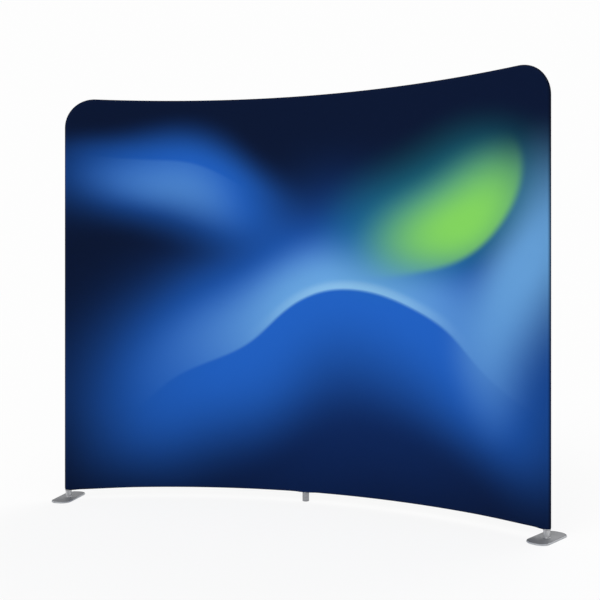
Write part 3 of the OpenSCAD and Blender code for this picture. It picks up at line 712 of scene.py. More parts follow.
def turned_piece(name, profile, centre):
    """A closed solid of revolution. Its profile starts and ends on the axis, or comes full circle."""
    profile = np.array(profile)
    along = np.concatenate([[0.0], np.cumsum(np.hypot(*np.diff(profile, axis=0).T))])
    work = Patchwork()
    points = turned(profile, centre)
    around = np.linspace(0.0, 2 * math.pi, points.shape[1]) * profile[:, 0].max()
    work.add(points, print_place(around, along[:, None]))
    piece = work.build(name, closed=True)
    crease(piece)
    return piece


def arc_points(centre, radius, start, stop, steps=6):
    """Points of a circular arc in a profile, from one angle to another in degrees."""
    angle = np.radians(np.linspace(start, stop, steps + 1))
    return list(zip(centre[0] + radius * np.cos(angle), centre[1] + radius * np.sin(angle)))


def plate_outline(feet, inset):
    """A rounded rectangle, long along y, drawn in by inset: a radius that turns a quarter at each
    corner of an inner rectangle and walks along its sides between them. It ends where it began."""
    half = np.array([feet.plate_width / 2, feet.plate_length / 2]) - feet.corner_radius
    corner = np.array([(1, 1), (-1, 1), (-1, -1), (1, -1), (1, 1)]) * half
    turn = np.append(np.linspace(0.0, 1.0, CORNER_STEPS + 1), np.ones(EDGE_STEPS - 1))
    walk = np.append(np.zeros(CORNER_STEPS + 1), np.arange(1, EDGE_STEPS) / EDGE_STEPS)
    angle = (np.arange(4)[:, None] + turn) * math.pi / 2
    core = corner[:4, None] + np.diff(corner, axis=0)[:, None] * walk[:, None]
    ring = core + (feet.corner_radius - inset) * np.stack([np.cos(angle), np.sin(angle)], -1)
    ring = ring.reshape(-1, 2)
    return np.concatenate([ring, ring[:1]])


def plate_rings(feet):
    """Closed surface of a foot plate, as rings of (x, y, z) and how far each ring is drawn in: from
    the screw's countersink out under the plate, over its rolled edge, in over the top and down the
    screw hole."""
    low, high = feet.plate_low, feet.plate_low + feet.plate_thickness
    outline = plate_outline(feet, 0.0)
    around = np.arctan2(outline[:, 1], outline[:, 0])
    circle = np.stack([np.cos(around), np.sin(around)], -1)
    roll = arc_points((feet.edge_radius, high - feet.edge_radius), feet.edge_radius,
                      180.0, 90.0, ROLL_STEPS)
    rim = [(PLATE_BELOW, low), (PLATE_BEVEL, low), (0.0, low + PLATE_BEVEL), *roll,
           *((inset, high) for inset in PLATE_ABOVE)]
    sink = 2 * feet.screw_radius
    hole = [(sink, low), (feet.screw_radius, low + feet.screw_radius), (feet.screw_radius, high)]
    rings = [(circle * sink, low)]
    rings += [(plate_outline(feet, inset), height) for inset, height in rim]
    rings += [(circle * radius, height) for radius, height in reversed(hole)]
    points = [np.column_stack([ring, np.full(len(ring), height)]) for ring, height in rings]
    inset = [PLATE_MIDDLE, *(place[0] for place in rim), *[PLATE_MIDDLE] * len(hole)]
    return np.stack(points), np.array(inset)


def spigot_points(feet, radius, low, length):
    """Profile of a collar or leg from its foot up to the shoulder, and of its bevelled spigot."""
    top = feet.shoulder + length
    return [(radius - BROKEN_EDGE, low), (radius, low + BROKEN_EDGE), (radius, feet.shoulder),
            (feet.spigot_radius, feet.shoulder), (feet.spigot_radius, top - 2 * SPIGOT_BEVEL),
            (feet.spigot_radius - SPIGOT_BEVEL, top), (0.0, top)]


def post_profile(feet):
    """Half section of a post: down its bore, round the weld at its foot, up its taper past a fine
    groove to the collar, and over its spigot."""
    low = feet.plate_low + feet.plate_thickness
    bore = feet.screw_radius - BORE_LESS
    weld = reversed(arc_points((feet.post_low_radius + WELD_RADIUS, low + WELD_RADIUS),
                               WELD_RADIUS, 180.0, 270.0))
    slope = (feet.post_top_radius - feet.post_low_radius) / (feet.collar_low - low)
    height = feet.collar_low - GROOVE_DROP
    radius = feet.post_top_radius - slope * GROOVE_DROP
    return [(0.0, low + BORE_DEPTH), (bore, low + BORE_DEPTH), (bore, low), *weld,
            (radius, height - GROOVE_DEPTH), (radius - GROOVE_DEPTH, height),
            (radius, height + GROOVE_DEPTH), (feet.post_top_radius, feet.collar_low),
            *spigot_points(feet, feet.collar_radius, feet.collar_low, POST_SPIGOT)]


def leg_profile(feet):
    """Half section of the centre leg: down the bore for its end cap's stem, up its outside and over
    its spigot."""
    bore = feet.leg_radius - feet.leg_wall
    top = feet.cap_height + CAP_STEM + STEM_ROOM
    return [(0.0, top), (bore, top), (bore, feet.cap_height),
            *spigot_points(feet, feet.leg_radius, feet.cap_height, LEG_SPIGOT)]


def foot_turn(wall, feet, side):
    """Angle that turns a plate's long side from +Y to its place in plan."""
    if side == "right":
        return -wall.half_angle
    return wall.half_angle - feet.left_turn


# ---------------------------------------------------------------- materials


class NodeSheet:
    """A material's node tree with short ways to add and join nodes."""

    def __init__(self, name):
        self.material = bpy.data.materials.new(name)
        self.material.use_nodes = True
        self.tree = self.material.node_tree
        self.tree.nodes.clear()
        self.output = self.tree.nodes.new("ShaderNodeOutputMaterial")
        self.shader = self.tree.nodes.new("ShaderNodeBsdfPrincipled")
        self.join(self.shader.outputs["BSDF"], self.output.inputs["Surface"])

    def join(self, source, target):
        """Links an output to a socket."""
        self.tree.links.new(source, target)

    def add(self, kind, **settings):
        """A new node with its settings."""
        node = self.tree.nodes.new(kind)
        for key, value in settings.items():
            setattr(node, key, value)
        return node

    def put(self, socket, value):
        """Links a socket to an output, or sets its number."""
        if isinstance(value, bpy.types.NodeSocket):
            self.join(value, socket)
        else:
            socket.default_value = value

    def put_colour(self, socket, colour):
        """Links a colour socket to an output, or sets its colour."""
        self.put(socket, colour if isinstance(colour, bpy.types.NodeSocket) else (*colour, 1.0))

    def maths(self, operation, first, second=0.0, third=0.0):
        """The result of a maths node."""
        node = self.add("ShaderNodeMath", operation=operation)
        for socket, value in zip(node.inputs, (first, second, third)):
            self.put(socket, value)
        return node.outputs[0]

    def times(self, *factors):
        """Product of all its factors."""
        product = factors[0]
        for factor in factors[1:]:
            product = self.maths("MULTIPLY", product, factor)
        return product

    def ramp(self, value, low, high, to_low=0.0, to_high=1.0, kind="SMOOTHERSTEP"):
        """Maps a value from one range to another, smoothly at its ends unless kind is LINEAR."""
        node = self.add("ShaderNodeMapRange", interpolation_type=kind)
        for name, number in (("Value", value), ("From Min", low), ("From Max", high),
                             ("To Min", to_low), ("To Max", to_high)):
            self.put(node.inputs[name], number)
        return node.outputs["Result"]

    def blend(self, factor, below, above):
        """Lays one colour over another."""
        node = self.add("ShaderNodeMix", data_type="RGBA")
        self.put(node.inputs["Factor"], factor)
        for name, colour in (("A", below), ("B", above)):
            socket = next(i for i in node.inputs if i.name == name and i.type == "RGBA")
            self.put_colour(socket, colour)
        return next(o for o in node.outputs if o.type == "RGBA")

    def noise(self, place, scale, detail, roughness=0.5, output="Fac"):
        """Smooth noise over a place, scaled to so many cells a metre."""
        node = self.add("ShaderNodeTexNoise")
        self.put(node.inputs["Vector"], place)
        node.inputs["Scale"].default_value = scale
        node.inputs["Detail"].default_value = detail
        node.inputs["Roughness"].default_value = roughness
        return node.outputs[output]

    def stretched(self, place, scale):
        """The same place with its axes scaled, for a grain that runs one way."""
        node = self.add("ShaderNodeMapping")
        self.put(node.inputs["Vector"], place)
        node.inputs["Scale"].default_value = scale
        return node.outputs["Vector"]

    def split(self, vector):
        """The three numbers of a vector."""
        node = self.add("ShaderNodeSeparateXYZ")
        self.join(vector, node.inputs[0])
        return node.outputs["X"], node.outputs["Y"], node.outputs["Z"]

    def object_place(self):
        """The place on a piece in the wall's frame."""
        return self.add("ShaderNodeTexCoord").outputs["Object"]

    def mapped_place(self, layer):
        """The place on a piece in one of its UV maps."""
        return self.add("ShaderNodeUVMap", uv_map=layer).outputs["UV"]

    def bump(self, height, distance, strength):
        """The surface's direction, as tilted by a height."""
        node = self.add("ShaderNodeBump")
        node.inputs["Distance"].default_value = distance
        node.inputs["Strength"].default_value = strength
        self.put(node.inputs["Height"], height)
        return node.outputs["Normal"]

    def finish(self, colour, roughness, metallic=0.0, normal=None, **sockets):
        """Sets the shader. Numbers go on its sockets, and outputs are joined to them."""
        self.put_colour(self.shader.inputs["Base Color"], colour)
        self.put(self.shader.inputs["Roughness"], roughness)
        self.shader.inputs["Metallic"].default_value = metallic
        if normal is not None:
            self.join(normal, self.shader.inputs["Normal"])
        for name, value in sockets.items():
            self.shader.inputs[name.replace("_", " ")].default_value = value
        return self.material


def shaded(colour, factor):
    """A colour made darker or lighter by a factor, at most 1."""
    return tuple(min(1.0, part * factor) for part in colour)


def finish_knit(sheet, colour, along, up):
    """Finishes a sheet as fine matt knit: ribs across the wall and finer courses up it, as the product
    of two sine waves."""
    ribs = sheet.maths("SINE", sheet.maths("MULTIPLY", along, 2 * math.pi / KNIT_RIB))
    courses = sheet.maths("SINE", sheet.maths("MULTIPLY", up, 2 * math.pi / KNIT_COURSE))
    height = sheet.maths("MULTIPLY_ADD", ribs, courses, ribs)
    normal = sheet.bump(height, KNIT_DEPTH, strength=0.5)
    return sheet.finish(colour, roughness=0.88, normal=normal, Specular_IOR_Level=0.04)


def glow(sheet, along, up, centre, radii, lean=0.0, core=0.0):
    """A soft round patch: the distance from centre, in shares of the two radii and turned by lean,
    mapped smoothly from 1 within the core's share to 0 at the rim."""
    x = sheet.maths("SUBTRACT", along, centre[0])
    y = sheet.maths("SUBTRACT", up, centre[1])
    cosine, sine = math.cos(lean), math.sin(lean)
    across = sheet.maths("MULTIPLY_ADD", x, cosine / radii[0],
                         sheet.maths("MULTIPLY", y, sine / radii[0]))
    above = sheet.maths("MULTIPLY_ADD", x, -sine / radii[1],
                        sheet.maths("MULTIPLY", y, cosine / radii[1]))
    squared = sheet.maths("MULTIPLY_ADD", across, across, sheet.maths("MULTIPLY", above, above))
    return sheet.ramp(sheet.maths("SQRT", squared), core, 1.0, 1.0, 0.0)


def wave_band(sheet, along, up, line, above, below):
    """A band along the sine line (height, swing, length, shift): 1 on the line, falling to 0 over one
    width above it and another below."""
    height, swing, length, shift = line
    phase = sheet.maths("MULTIPLY_ADD", along, 2 * math.pi / length, shift)
    crest = sheet.maths("MULTIPLY_ADD", sheet.maths("SINE", phase), swing, height)
    over = sheet.maths("SUBTRACT", up, crest)
    upper = sheet.ramp(over, 0.0, above, 1.0, 0.0)
    lower = sheet.ramp(over, -below, 0.0)
    return sheet.times(upper, lower)


def drifted(sheet, place, size, amount):
    """The print's two coordinates, each moved by up to half of amount by a slow smooth noise."""
    along, up, _ = sheet.split(place)
    east, north, _ = sheet.split(sheet.noise(place, scale=1.0 / size, detail=0.5, output="Color"))
    moved_along = sheet.maths("MULTIPLY_ADD", sheet.maths("SUBTRACT", east, 0.5), amount, along)
    moved_up = sheet.maths("MULTIPLY_ADD", sheet.maths("SUBTRACT", north, 0.5), amount, up)
    return moved_along, moved_up


def printed_cloth(colours):
    """Knit polyester with a dyed print: soft blue wave bands with a crisp bright crest, and a green
    glow, on a dark ground. Painted shade darkens the colour where the cloth turns round its edges, to
    the seam and under the hem."""
    sheet = NodeSheet("printed knit cloth")
    place = sheet.mapped_place("print")
    along, up = drifted(sheet, place, size=1.1, amount=0.5)

    def patch(*shape):
        """A soft patch of the given centre, radii, lean and core."""
        return glow(sheet, along, up, *shape)

    def band(line, above, below, *shape):
        """A wave band that shows only within a patch."""
        return sheet.times(wave_band(sheet, along, up, line, above, below), patch(*shape))

    # Lines of the bands, as in wave_band, in metres of the unrolled cloth
    arch = (0.80, 0.37, 3.2, 0.95)
    high = (1.74, -0.24, 3.6, 0.4)
    green_rim = patch((0.60, 1.74), (0.66, 0.50), 0.5, 0.86)
    # From the ground up: where a layer lies, how strong it is and its colour
    layers = (
        (patch((0.25, 0.80), (2.0, 1.35)), 1.0, colours.deep),
        (band(arch, 1.10, 0.80, (0.15, 0.75), (1.9, 1.5), 0.0, 0.25), 1.0, colours.royal),
        (band(high, 0.30, 0.62, (-0.80, 1.66), (1.00, 0.85), 0.0, 0.2), 0.95, colours.royal),
        (band(high, 0.03, 0.40, (-0.90, 1.58), (0.66, 0.6)), 0.7, colours.sky),
        (patch((1.22, 1.25), (0.40, 0.90), -0.22), 0.85, colours.sky),
        (band(arch, 0.50, 0.03, (0.20, 1.05), (1.40, 1.0)), 1.0, colours.sky),
        (band(arch, 0.07, 0.015, (0.30, 1.10), (0.85, 0.8)), 0.6, colours.crest),
        (patch((0.74, 1.62), (0.82, 0.54), 0.5), 0.95, colours.teal),
        (sheet.times(patch((0.84, 1.57), (0.64, 0.42), 0.5), green_rim), 1.0, colours.green),
    )
    colour = colours.ground
    for mask, strength, tint in layers:
        colour = sheet.blend(sheet.times(mask, strength), colour, tint)

    # Painted shade: the colour is darkened towards a deeper ground colour where the cloth turns round
    # its edges, to the seam and under the hem
    round_edge, _, _ = sheet.split(sheet.mapped_place("edge"))
    shadow = sheet.ramp(round_edge, 0.3, 0.95, 0.0, 0.7)
    colour = sheet.blend(shadow, colour, shaded(colours.ground, 0.3))
    true_along, true_up, _ = sheet.split(place)
    return finish_knit(sheet, colour, true_along, true_up)


def plain_cloth(name, colour):
    """Plain dyed knit cloth: one colour with a slight cloudy variation, and painted shade that darkens
    it at its turned edge.
    """
    sheet = NodeSheet(name)
    place = sheet.mapped_place("print")
    along, up, _ = sheet.split(place)
    cloud = sheet.noise(place, scale=3.0, detail=3.0)
    shade = sheet.blend(cloud, shaded(colour, 0.8), shaded(colour, 1.2))
    # Painted shade: the colour is darkened where the cloth turns round its edge to the seam
    round_edge, _, _ = sheet.split(sheet.mapped_place("edge"))
    shade = sheet.blend(sheet.ramp(round_edge, 0.3, 0.95, 0.0, 0.5), shade, shaded(colour, 0.4))
    return finish_knit(sheet, shade, along, up)


def woven_tape(name, colour):
    """Narrow woven tape or thread: slanted twill lines across its length."""
    sheet = NodeSheet(name)
    along, up, _ = sheet.split(sheet.mapped_place("print"))
    slant = sheet.maths("MULTIPLY", sheet.maths("ADD", along, up), 2 * math.pi / TWILL_PITCH)
    rib = sheet.ramp(sheet.maths("SINE", slant), -0.6, 0.8)
    shade = sheet.blend(rib, shaded(colour, 0.55), shaded(colour, 1.3))
    normal = sheet.bump(rib, distance=0.0001, strength=0.7)
    return sheet.finish(shade, roughness=0.8, normal=normal, Specular_IOR_Level=0.15)


def satin_metal(name, colour, roughness, grain=UPRIGHT_GRAIN, depth=0.00003, edge=0.6,
                metallic=1.0):
    """Drawn or turned metal: fine streaks in its tint, its roughness and its surface. edge is how
    bright it stays where it is seen along its surface."""
    sheet = NodeSheet(name)
    place = sheet.object_place()
    streaks = sheet.noise(sheet.stretched(place, grain), scale=25.0, detail=4.0, roughness=0.6)
    patches = sheet.noise(place, scale=14.0, detail=2.0)
    tint = sheet.blend(streaks, shaded(colour, 0.9), shaded(colour, 1.08))
    tint = sheet.blend(sheet.times(patches, 0.3), tint, shaded(colour, 0.82))
    rough = sheet.ramp(streaks, 0.3, 0.7, roughness - 0.05, roughness + 0.06, "LINEAR")
    normal = sheet.bump(streaks, depth, strength=0.4)
    return sheet.finish(tint, rough, metallic, normal, Specular_Tint=(edge, edge, edge, 1.0))


def powder_coat(name, colour):
    """Powder-coated steel plate: metal flake in a satin coat with a fine orange-peel surface. Its
    rolled side carries a painted highlight, broken up by a noise, with a line of painted shade inside
    it."""
    sheet = NodeSheet(name)
    place = sheet.object_place()
    inset, _, _ = sheet.split(sheet.mapped_place("edge"))
    flake = sheet.noise(place, scale=2600.0, detail=1.0)
    dust = sheet.noise(place, scale=11.0, detail=3.0)
    tint = sheet.blend(sheet.ramp(flake, 0.4, 0.7), colour, shaded(colour, 1.25))
    tint = sheet.blend(sheet.times(dust, 0.4), tint, shaded(colour, 0.8))
    # Painted shade: a darker line on the top, just inside the rolled edge
    line = sheet.times(sheet.ramp(inset, 0.0030, 0.0042), sheet.ramp(inset, 0.0050, 0.0100, 1.0, 0.0))
    tint = sheet.blend(sheet.times(line, 0.7), tint, shaded(colour, 0.45))
    # Painted highlight: the rolled side is lightened threefold, broken up by a noise
    painted_rim_highlight = sheet.ramp(inset, 0.0020, 0.0034, 1.0, 0.0)
    highlight_breakup = sheet.ramp(sheet.noise(place, scale=160.0, detail=3.0), 0.35, 0.65, 0.7, 1.0)
    tint = sheet.blend(sheet.times(painted_rim_highlight, highlight_breakup), tint, shaded(colour, 3.0))
    rough = sheet.ramp(dust, 0.3, 0.7, 0.46, 0.56, "LINEAR")
    peel = sheet.noise(place, scale=420.0, detail=2.0)
    normal = sheet.bump(peel, distance=0.00006, strength=0.35)
    return sheet.finish(tint, rough, metallic=0.12, normal=normal)


def moulded(name, colour, roughness):
    """Moulded rubber or nylon: a fine mottle in its colour and surface."""
    sheet = NodeSheet(name)
    mottle = sheet.noise(sheet.object_place(), scale=900.0, detail=2.0)
    shade = sheet.blend(mottle, shaded(colour, 0.8), shaded(colour, 1.3))
    normal = sheet.bump(mottle, distance=0.00005, strength=0.4)
    return sheet.finish(shade, roughness, normal=normal)


def seen_rays(tree):
    """1 for the camera's rays and for those of reflections and glass, else 0."""
    path = tree.nodes.new("ShaderNodeLightPath")
    seen = path.outputs["Is Camera Ray"]
    for name in ("Is Glossy Ray", "Is Transmission Ray"):
        either = tree.nodes.new("ShaderNodeMath")
        either.operation = "MAXIMUM"
        tree.links.new(seen, either.inputs[0])
        tree.links.new(path.outputs[name], either.inputs[1])
        seen = either.outputs[0]
    return seen


def studio_white(studio):
    """White floor: a matt surface that takes the shadows, mixed with an even white wherever it is
    seen by the camera, in a reflection or through glass, so that only a share of them shows."""
    sheet = NodeSheet("studio floor")
    sheet.finish((studio.white,) * 3, roughness=1.0, Specular_IOR_Level=0.0)
    even = sheet.add("ShaderNodeEmission")
    even.inputs["Color"].default_value = (studio.white,) * 3 + (1.0,)
    seen = sheet.times(seen_rays(sheet.tree), 1.0 - studio.shadow_share)
    mix = sheet.add("ShaderNodeMixShader")
    sheet.join(seen, mix.inputs[0])
    sheet.join(sheet.shader.outputs["BSDF"], mix.inputs[1])
    sheet.join(even.outputs[0], mix.inputs[2])
    sheet.join(mix.outputs[0], sheet.output.inputs["Surface"])
    return sheet.material


def dress(piece, material):
    """Gives a piece one material."""
    piece.data.materials.clear()
    piece.data.materials.append(material)


def dress_nodes(material, names):
    """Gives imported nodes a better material, in their object's own slots."""
    for name in names:
        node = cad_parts[name]
        if not node.material_slots:
            node.data.materials.append(material)
        for slot in node.material_slots:
            slot.link = "OBJECT"
            slot.material = material


# ---------------------------------------------------------------- operators


def seam_run(wall):
    """The run of the seam round the cover's edge, from just above its lower edge on both sides."""
    return outline_run(wall, wall.rail_height - SEAM_START)


def zip_row(wall, pitch, height, lean, shift=0.0):
    """Even places along the zip, from one end of the curve to the other, at one height."""
    count = int(2 * arc_length(wall) / pitch) - 1
    s = (np.arange(count) - (count - 1) / 2 + shift) * pitch
    return s, np.full(count, height), np.full(count, lean)


class WALL_OT_printed_cover(Operator):
    """Builds the printed front of the cover, with its edge turns and its lower hem"""

    bl_idname = "wall.printed_cover"
    bl_label = "Printed front"

    def execute(self, context):
        settings = context.scene.display_wall
        wall, cloth = settings.wall, settings.cloth
        columns = cloth_columns(wall, cloth)
        work = cover_half(wall, cloth, columns, front=True)
        add_lower_edge(work, wall, cloth, columns)
        piece = work.build("printed_front")
        thicken(piece, cloth.thickness)
        dress(piece, printed_cloth(settings.colours))
        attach(piece, "frame")
        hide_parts("fabric_front")
        return {"FINISHED"}


class WALL_OT_back_cover(Operator):
    """Builds the plain back of the cover, with its edge turns, down to the zip"""

    bl_idname = "wall.back_cover"
    bl_label = "Plain back"

    def execute(self, context):
        settings = context.scene.display_wall
        wall, cloth = settings.wall, settings.cloth
        work = cover_half(wall, cloth, cloth_columns(wall, cloth), front=False)
        piece = work.build("plain_back")
        thicken(piece, cloth.thickness)
        dress(piece, plain_cloth("plain knit cloth", settings.colours.back))
        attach(piece, "frame")
        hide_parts("fabric_back")
        return {"FINISHED"}


class WALL_OT_seams(Operator):
    """Builds the seam round the cover's edge, its two rows of stitches and the zip's own rows"""

    bl_idname = "wall.seams"
    bl_label = "Seams"

    def execute(self, context):
        settings = context.scene.display_wall
        wall, cloth = settings.wall, settings.cloth
        thread = woven_tape("sewing thread", settings.colours.thread)
        work = Patchwork()
        add_cord(work, wall, seam_run(wall), cloth.reach, (cloth.seam_rise, cloth.seam_width))
        ridge = work.build("edge_seam", closed=True)
        dress(ridge, plain_cloth("seam cloth", shaded(settings.colours.back, 0.6)))

        work = Patchwork()
        places = even_places(seam_run(wall), cloth.stitch_pitch)
        size = (STITCH_LENGTH * cloth.stitch_pitch, STITCH_WIDTH * cloth.thread_radius,
                cloth.thread_radius)
        for side in (-1.0, 1.0):
            depth = side * cloth.stitch_inset
            out = math.sqrt(cloth.reach**2 - depth**2)
            add_pills(work, wall, places, STITCH, size, out, depth)
        low_line, high_line = zip_lines(wall, cloth)
        for height in (low_line - cloth.zip_hem, high_line + cloth.zip_hem):
            row = zip_row(wall, cloth.stitch_pitch, height, 0.0)
            add_pills(work, wall, row, STITCH, size, depth=cloth.reach)
        tack = (np.array([-1.0, 1.0]) * (arc_length(wall) + TACK_GAP),
                np.full(2, wall.rail_height + cloth.zip_rise), np.full(2, math.pi / 2))
        add_pills(work, wall, tack, STITCH, TACK_SIZE, depth=cloth.reach)
        stitches = work.build("seam_stitches", closed=True)
        dress(stitches, thread)
        for piece in (ridge, stitches):
            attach(piece, "frame")
        return {"FINISHED"}


class WALL_OT_zip(Operator):
    """Builds the zip's woven tapes and its closed chain of moulded teeth"""

    bl_idname = "wall.zip"
    bl_label = "Zip"

    def execute(self, context):
        settings = context.scene.display_wall
        wall, cloth = settings.wall, settings.cloth
        low_line, high_line = zip_lines(wall, cloth)
        work = Patchwork()
        rise = np.linspace(low_line - cloth.tape_tuck, high_line + cloth.tape_tuck, TAPE_ROWS + 1)
        along = np.linspace(-1.0, 1.0, TAPE_COLUMNS + 1) * arc_length(wall)
        depth = cloth.reach - cloth.thickness - TAPE_GAP
        s, z = np.broadcast_arrays(along, rise[:, None])
        work.add(wall_points(wall, s, depth, z), print_place(s, z), flip=True)
        tapes = work.build("zip_tapes")
        thicken(tapes, TAPE_THICKNESS)
        dress(tapes, woven_tape("woven tape", shaded(settings.colours.thread, 1.5)))
        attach(tapes, "frame")
        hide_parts("zip_tape")

        work = Patchwork()
        size = np.multiply(TOOTH_SHARES, (cloth.chain_width, cloth.tooth_pitch, cloth.chain_rise))
        tooth_depth = cloth.reach + cloth.chain_rise - size[2]
        middle = wall.rail_height + cloth.zip_rise
        for side in (-1.0, 1.0):
            height = middle + side * (cloth.chain_width / 2 - size[0])
            row = zip_row(wall, cloth.tooth_pitch, height, math.pi / 2, TOOTH_SHIFT * side)
            add_pills(work, wall, row, TOOTH, size, depth=tooth_depth)
        chain = work.build("zip_teeth", closed=True)
        dress(chain, moulded("moulded nylon", (0.012, 0.014, 0.022), 0.42))
        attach(chain, "frame")
        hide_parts("zip_chain")
        return {"FINISHED"}


class WALL_OT_hem_bindings(Operator):
    """Builds the three sewn bindings round the hem's holes for the leg and the posts"""

    bl_idname = "wall.hem_bindings"
    bl_label = "Hem bindings"

    def execute(self, context):
        settings = context.scene.display_wall
        wall, cloth = settings.wall, settings.cloth
        material = woven_tape("binding tape", settings.colours.thread)
        angle = np.linspace(0.0, 2 * math.pi, BINDING_STEPS + 1)
        radius = cloth.hole_radius + BINDING[0] * (1 + np.cos(angle))
        end = upright_s(wall)
        places = {"left": (-end, upright_axis("left")), "centre": (0.0, (0.0, 0.0)),
                  "right": (end, upright_axis("right"))}
        for name, (s, centre) in places.items():
            height = wall.rail_height - cloth.reach - hem_dip(wall, cloth, s)
            section = np.column_stack([radius, height + BINDING[1] * np.sin(angle)])
            piece = turned_piece(f"{name}_hem_binding", section, centre)
            dress(piece, material)
            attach(piece, "frame")
        return {"FINISHED"}


class WALL_OT_foot_plates(Operator):
    """Builds the two foot plates: rounded rectangles with a rolled top edge and a sunk screw hole"""

    bl_idname = "wall.foot_plates"
    bl_label = "Foot plates"

    def execute(self, context):
        settings = context.scene.display_wall
        wall, feet = settings.wall, settings.feet
        coat = powder_coat("silver grey powder coat", (0.155, 0.16, 0.17))
        rings, inset = plate_rings(feet)
        for side in ("left", "right"):
            turn = foot_turn(wall, feet, side)
            centre = upright_axis(side)
            cosine, sine = math.cos(turn), math.sin(turn)
            points = np.stack([centre[0] + rings[..., 0] * cosine - rings[..., 1] * sine,
                               centre[1] + rings[..., 0] * sine + rings[..., 1] * cosine,
                               rings[..., 2]], -1)
            work = Patchwork()
            work.add(points, print_place(rings[..., 0], rings[..., 1], inset[:, None]))
            piece = work.build(f"{side}_base_plate", closed=True)
            crease(piece)
            dress(piece, coat)
            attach(piece, f"{side}_foot")
            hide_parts(f"{side}_foot_plate")
        return {"FINISHED"}


class WALL_OT_posts(Operator):
    """Builds the tapered posts on the plates and the centre leg"""

    bl_idname = "wall.posts"
    bl_label = "Posts and leg"

    def execute(self, context):
        feet = context.scene.display_wall.feet
        metal = satin_metal("satin post metal", (0.60, 0.605, 0.62), 0.34, edge=0.05, metallic=0.5)
        for side in ("left", "right"):
            piece = turned_piece(f"{side}_tapered_post", post_profile(feet), upright_axis(side))
            dress(piece, metal)
            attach(piece, f"{side}_foot")
            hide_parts(f"{side}_foot_post")

        piece = turned_piece("straight_leg", leg_profile(feet), (0.0, 0.0))
        dress(piece, satin_metal("satin leg metal", (0.33, 0.335, 0.35), 0.26, edge=0.05, metallic=0.6))
        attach(piece, "frame")
        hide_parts("centre_leg")
        return {"FINISHED"}


class WALL_OT_metalwork(Operator):
    """Gives the tubes, fittings, sleeves, rivets, buttons and screws their metal finishes"""

    bl_idname = "wall.metalwork"
    bl_label = "Metalwork"

    def execute(self, context):
        names = set(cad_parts)
        buttons = {n for n in names if n.endswith("_button")}
        plated = {n for n in names if n.endswith(("_sleeve", "_rivets", "_screw"))}
        cast = {n for n in names if n.endswith("_tee")}
        tubes = {n for n in names if n.startswith(("centre_post", "top_rail", "bottom_rail"))
                 or n.endswith("_bend") or "_upright_" in n} - buttons - plated
        for material, group in (
                (satin_metal("drawn aluminium tube", (0.62, 0.63, 0.64), 0.34), tubes),
                (satin_metal("cast aluminium", (0.45, 0.46, 0.47), 0.52, EVEN_GRAIN, 0.0001), cast),
                (satin_metal("zinc plated steel", (0.52, 0.53, 0.54), 0.38, EVEN_GRAIN), plated),
                (satin_metal("spring steel", (0.48, 0.48, 0.49), 0.30), buttons),
                (satin_metal("nickel plate", (0.60, 0.60, 0.58), 0.24, EVEN_GRAIN),
                 {"zip_slider", "zip_pull"})):
            dress_nodes(material, sorted(group))
        return {"FINISHED"}


class WALL_OT_rubber_parts(Operator):
    """Gives the pads under the plates and the leg's end cap their rubber"""

    bl_idname = "wall.rubber_parts"
    bl_label = "Rubber parts"

    def execute(self, context):
        dress_nodes(moulded("black rubber", (0.022, 0.022, 0.024), 0.78),
                    ["left_foot_pads", "right_foot_pads"])
        dress_nodes(moulded("grey rubber", (0.26, 0.265, 0.28), 0.70), ["centre_leg_cap"])
        return {"FINISHED"}


def add_floor(scene, studio):
    """A square white floor that reaches to the horizon."""
    mesh = bpy.data.meshes.new("studio_floor")
    signs = ((-1, -1), (1, -1), (1, 1), (-1, 1))
    mesh.from_pydata([(x * FLOOR_HALF, y * FLOOR_HALF, 0.0) for x, y in signs], [], [(0, 1, 2, 3)])
    floor = bpy.data.objects.new("studio_floor", mesh)
    scene.collection.objects.link(floor)
    dress(floor, studio_white(studio))


def add_world(scene, studio):
    """Even light from all round, and a white backdrop wherever the world is seen."""
    world = bpy.data.worlds.new("studio light")
    scene.world = world
    world.use_nodes = True
    nodes, links = world.node_tree.nodes, world.node_tree.links
    nodes.clear()
    mix = nodes.new("ShaderNodeMixShader")
    links.new(seen_rays(world.node_tree), mix.inputs[0])
    for number, strength in ((1, studio.fill_light), (2, studio.white)):
        light = nodes.new("ShaderNodeBackground")
        light.inputs["Color"].default_value = (1.0, 1.0, 1.0, 1.0)
        light.inputs["Strength"].default_value = strength
        links.new(light.outputs[0], mix.inputs[number])
    out = nodes.new("ShaderNodeOutputWorld")
    links.new(mix.outputs[0], out.inputs["Surface"])


def add_lamps(scene, studio):
    """Two wide soft lamps, high in front of the wall and behind it."""
    for name, azimuth in LAMP_AZIMUTHS.items():
        sun = bpy.data.lights.new(name, "SUN")
        sun.energy = studio.lamp_power
        sun.angle = studio.lamp_spread
        lamp = bpy.data.objects.new(name, sun)
        lamp.rotation_euler = (math.pi / 2 - LAMP_ELEVATION, 0.0, azimuth)
        scene.collection.objects.link(lamp)


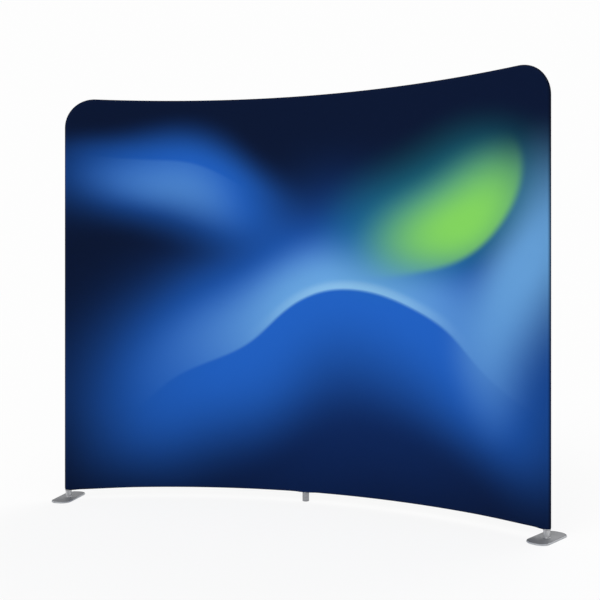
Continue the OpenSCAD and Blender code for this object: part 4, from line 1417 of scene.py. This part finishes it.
def add_camera(scene, studio):
    """A level camera, with the horizon shifted to its row of the picture."""
    lens = bpy.data.cameras.new("photo view")
    lens.lens = studio.lens
    lens.sensor_width = SENSOR_WIDTH
    lens.shift_y = (studio.horizon_row - studio.picture_rows / 2) / studio.picture_rows
    lens.clip_end = 4 * FLOOR_HALF
    camera = bpy.data.objects.new("photo view", lens)
    camera.location = studio.camera_place
    camera.rotation_euler = (math.pi / 2, 0.0, studio.camera_yaw)
    scene.collection.objects.link(camera)
    scene.camera = camera


class WALL_OT_stage(Operator):
    """Builds the white floor and backdrop, the lamps, the world and the camera"""

    bl_idname = "wall.stage"
    bl_label = "Studio"

    def execute(self, context):
        scene, studio = context.scene, context.scene.display_wall.studio
        add_floor(scene, studio)
        add_world(scene, studio)
        add_lamps(scene, studio)
        add_camera(scene, studio)
        scene.view_settings.view_transform = "Standard"
        return {"FINISHED"}


STEPS = (
    WALL_OT_printed_cover,
    WALL_OT_back_cover,
    WALL_OT_seams,
    WALL_OT_zip,
    WALL_OT_hem_bindings,
    WALL_OT_foot_plates,
    WALL_OT_posts,
    WALL_OT_metalwork,
    WALL_OT_rubber_parts,
    WALL_OT_stage,
)


class WALL_PT_sidebar(Panel):
    """Sidebar with the wall's settings and steps"""

    bl_idname = "WALL_PT_sidebar"
    bl_label = "Display wall"
    bl_space_type = "VIEW_3D"
    bl_region_type = "UI"
    bl_category = "Display wall"

    def draw(self, context):
        settings = context.scene.display_wall
        for group in (settings.wall, settings.cloth, settings.colours, settings.feet, settings.studio):
            box = self.layout.box()
            for key in group.bl_rna.properties.keys():
                if key not in ("name", "rna_type"):
                    box.prop(group, key)
        for step in STEPS:
            self.layout.operator(step.bl_idname)


CLASSES = (WallSizes, ClothSizes, PrintColours, FootSizes, StudioSettings, DisplayWall,
           *STEPS, WALL_PT_sidebar)


def register():
    """Registers the classes and puts the wall's settings on the scene."""
    for item in CLASSES:
        bpy.utils.register_class(item)
    bpy.types.Scene.display_wall = PointerProperty(type=DisplayWall)


def unregister():
    """Takes the settings and the classes away again."""
    del bpy.types.Scene.display_wall
    for item in reversed(CLASSES):
        bpy.utils.unregister_class(item)


def main():
    """Builds every piece in order."""
    register()
    for step in STEPS:
        group, name = step.bl_idname.split(".")
        getattr(getattr(bpy.ops, group), name)()


if __name__ == "__main__":
    main()
